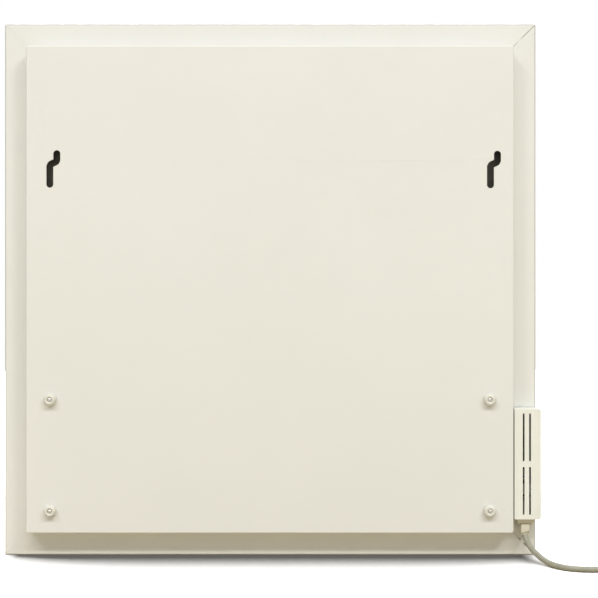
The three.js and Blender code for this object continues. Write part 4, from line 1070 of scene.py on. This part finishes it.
def makePlugBody(plug):
    x, y, z = plug["face"]
    piece = spinProfile("plugBody", plug["profile"] + reliefProfile(plug), plug["face"], 64)
    half, near, far, length = plug["clipGroove"]
    rise, radius, depth = plug["earthHole"]
    pinRadius, pinDepth = plug["pinHole"]
    grooves = [addBlock("cutter", (x - half, y - spare, z + low), (x + half, y + length, z + high))
               for low, high in ((-far, -near), (near, far))]
    earth = addRod("cutter", (x, y - spare, z + rise), (x, y + depth, z + rise), radius)
    pins = [addRod("cutter", (across, y - spare, z), (across, y + pinDepth, z), pinRadius)
            for across in (x - plug["pinSpacing"] / 2, x + plug["pinSpacing"] / 2)]
    cutAway(piece, *grooves, earth, *pins)
    return piece


def makeClip(name, plug, side):
    x, y, z = plug["face"]
    low, high = plug["clipLow"], plug["clipHigh"]
    inset, depth = plug["clipDent"]
    heights = sorted((side * low[2], side * high[2]))
    piece = addBlock(name, (x + low[0], y + low[1], z + heights[0]),
                     (x + high[0], y + high[1], z + heights[1]))
    chooseFaces(piece, lambda centre, normal: normal.z * side > 0.9)
    bpy.ops.mesh.inset(thickness=inset)
    pull((0, 0, -depth * side))
    leave()
    soften(piece, plug["clipEdge"])
    return piece


plugPiece = makePlugBody(mainsPlug)
finishPiece(plugPiece, "pvc", "grey_pvc", "plug_body")
for side, name in ((-1, "Left"), (1, "Right")):
    x, y, z = mainsPlug["face"]
    pin = spinProfile("plugPin" + name, mainsPlug["pinProfile"],
                      (x + side * mainsPlug["pinSpacing"] / 2, y, z), 32)
    finishPiece(pin, "zinc", "zinc_steel", "plug_pin_" + name.lower())
for side, name in ((1, "Upper"), (-1, "Lower")):
    clip = makeClip("plugEarthClip" + name, mainsPlug, side)
    finishPiece(clip, "zinc", "zinc_steel", "plug_earth_clip_" + name.lower())
print("pieces: made")

studio = {
    "floorRadius": 4,
    "floorColour": "#cabda2",  # as the object sees it
    "floorGain": 2.2,  # how much paler the camera sees it, so that it meets the white behind
    "contactReach": 0.2,  # how far the painted contact shadow darkens the floor at the object's foot
    "contactSamples": 24,
    "contactSpan": (0.5, 0.95),  # how much of the sky the floor sees there
    "contactShade": (0.06, 1.0),
    "contactEnds": (0.284, 0.304),  # where the panel's foot ends, and the floor darkens less
    "contactBeside": 0.55,
    "skyDim": 0.22,  # from in front of the panel
    "skyBright": 0.44,  # from the camera's side
    "target": (0, 0.03, 0.3),
    # each softbox: towards it from the target, distance, width and height, and power
    "softboxes": {
        "overheadSoftbox": ((0, 1, 1.22), 9, 5.4, 0.9, 290),
        "leftSoftbox": ((0.9, 1, 1.22), 9, 2.1, 0.9, 190),
        "rightSoftbox": ((-0.9, 1, 1.22), 9, 2.1, 0.9, 248),
        "frontSoftbox": ((0, -1, 0.9), 9, 5.4, 2.7, 520),  # for the unphotographed side
    },
}


def makeFloor(values):
    deselect()
    bpy.ops.mesh.primitive_circle_add(vertices=96, radius=values["floorRadius"], fill_type="NGON")
    floor = newest("studioFloor")
    material, tree, place = newMaterial("studioWhite")
    path = addNode(tree, "ShaderNodeLightPath")
    # painted contact shadow: ambient occlusion darkens the floor's colour as the camera sees it
    contact = addNode(tree, "ShaderNodeAmbientOcclusion", {"Distance": values["contactReach"]},
                      samples=values["contactSamples"])
    sides = addNode(tree, "ShaderNodeSeparateXYZ", {"Vector": place})
    aside = addNode(tree, "ShaderNodeMath", {0: sides.outputs["X"]}, operation="ABSOLUTE")
    foot = addNode(tree, "ShaderNodeMapRange", {
        "Value": aside.outputs["Value"], "From Min": values["contactEnds"][0],
        "From Max": values["contactEnds"][1], "To Min": values["contactShade"][0],
        "To Max": values["contactBeside"]})
    shade = addNode(tree, "ShaderNodeMapRange", {
        "Value": contact.outputs["AO"], "From Min": values["contactSpan"][0],
        "From Max": values["contactSpan"][1], "To Min": foot.outputs["Result"],
        "To Max": values["contactShade"][1]})
    pale = addNode(tree, "ShaderNodeVectorMath", {
        0: [values["floorGain"]] * 3, "Scale": shade.outputs["Result"]}, operation="SCALE")
    plain = addNode(tree, "ShaderNodeBsdfDiffuse", {"Color": linear(values["floorColour"])})
    seen = addNode(tree, "ShaderNodeBsdfDiffuse", {"Color": pale.outputs["Vector"]})
    either = addNode(tree, "ShaderNodeMixShader", {
        0: path.outputs["Is Camera Ray"], 1: plain.outputs["BSDF"], 2: seen.outputs["BSDF"]})
    addNode(tree, "ShaderNodeOutputMaterial", {"Surface": either.outputs["Shader"]})
    floor.data.materials.append(material)


def makeSky(values):
    world = bpy.data.worlds.new("studioSky")
    bpy.context.scene.world = world
    world.use_nodes = True
    tree = world.node_tree
    tree.nodes.clear()
    rays = addNode(tree, "ShaderNodeLightPath").outputs
    clear = rays["Is Camera Ray"]
    for ray in ("Is Glossy Ray", "Is Transmission Ray"):
        clear = addNode(tree, "ShaderNodeMath", {0: clear, 1: rays[ray]},
                        operation="MAXIMUM").outputs["Value"]
    way = addNode(tree, "ShaderNodeTexCoord").outputs["Generated"]
    sides = addNode(tree, "ShaderNodeSeparateXYZ", {"Vector": way})
    soft = addNode(tree, "ShaderNodeMapRange", {
        "Value": sides.outputs["Y"], "From Min": -1, "To Min": values["skyDim"],
        "To Max": values["skyBright"]})
    strength = addNode(tree, "ShaderNodeMapRange", {
        "Value": clear, "To Min": soft.outputs["Result"], "To Max": 1})
    sky = addNode(tree, "ShaderNodeBackground", {
        "Color": (1, 1, 1, 1), "Strength": strength.outputs["Result"]})
    addNode(tree, "ShaderNodeOutputWorld", {"Surface": sky.outputs["Background"]})


def addSoftbox(name, target, towards, distance, width, height, power):
    place = Vector(target) + distance * Vector(towards).normalized()
    deselect()
    bpy.ops.object.light_add(type="AREA", location=place)
    lamp = newest(name)
    lamp.rotation_euler = (Vector(target) - place).to_track_quat("-Z", "Y").to_euler()
    lamp.data.shape = "RECTANGLE"
    lamp.data.size, lamp.data.size_y = width, height
    lamp.data.energy = power


makeFloor(studio)
makeSky(studio)
for name, values in studio["softboxes"].items():
    addSoftbox(name, studio["target"], *values)
bpy.context.scene.view_settings.view_transform = "Standard"
print("studio: floor, sky and softboxes")

bpy.context.view_layer.update()
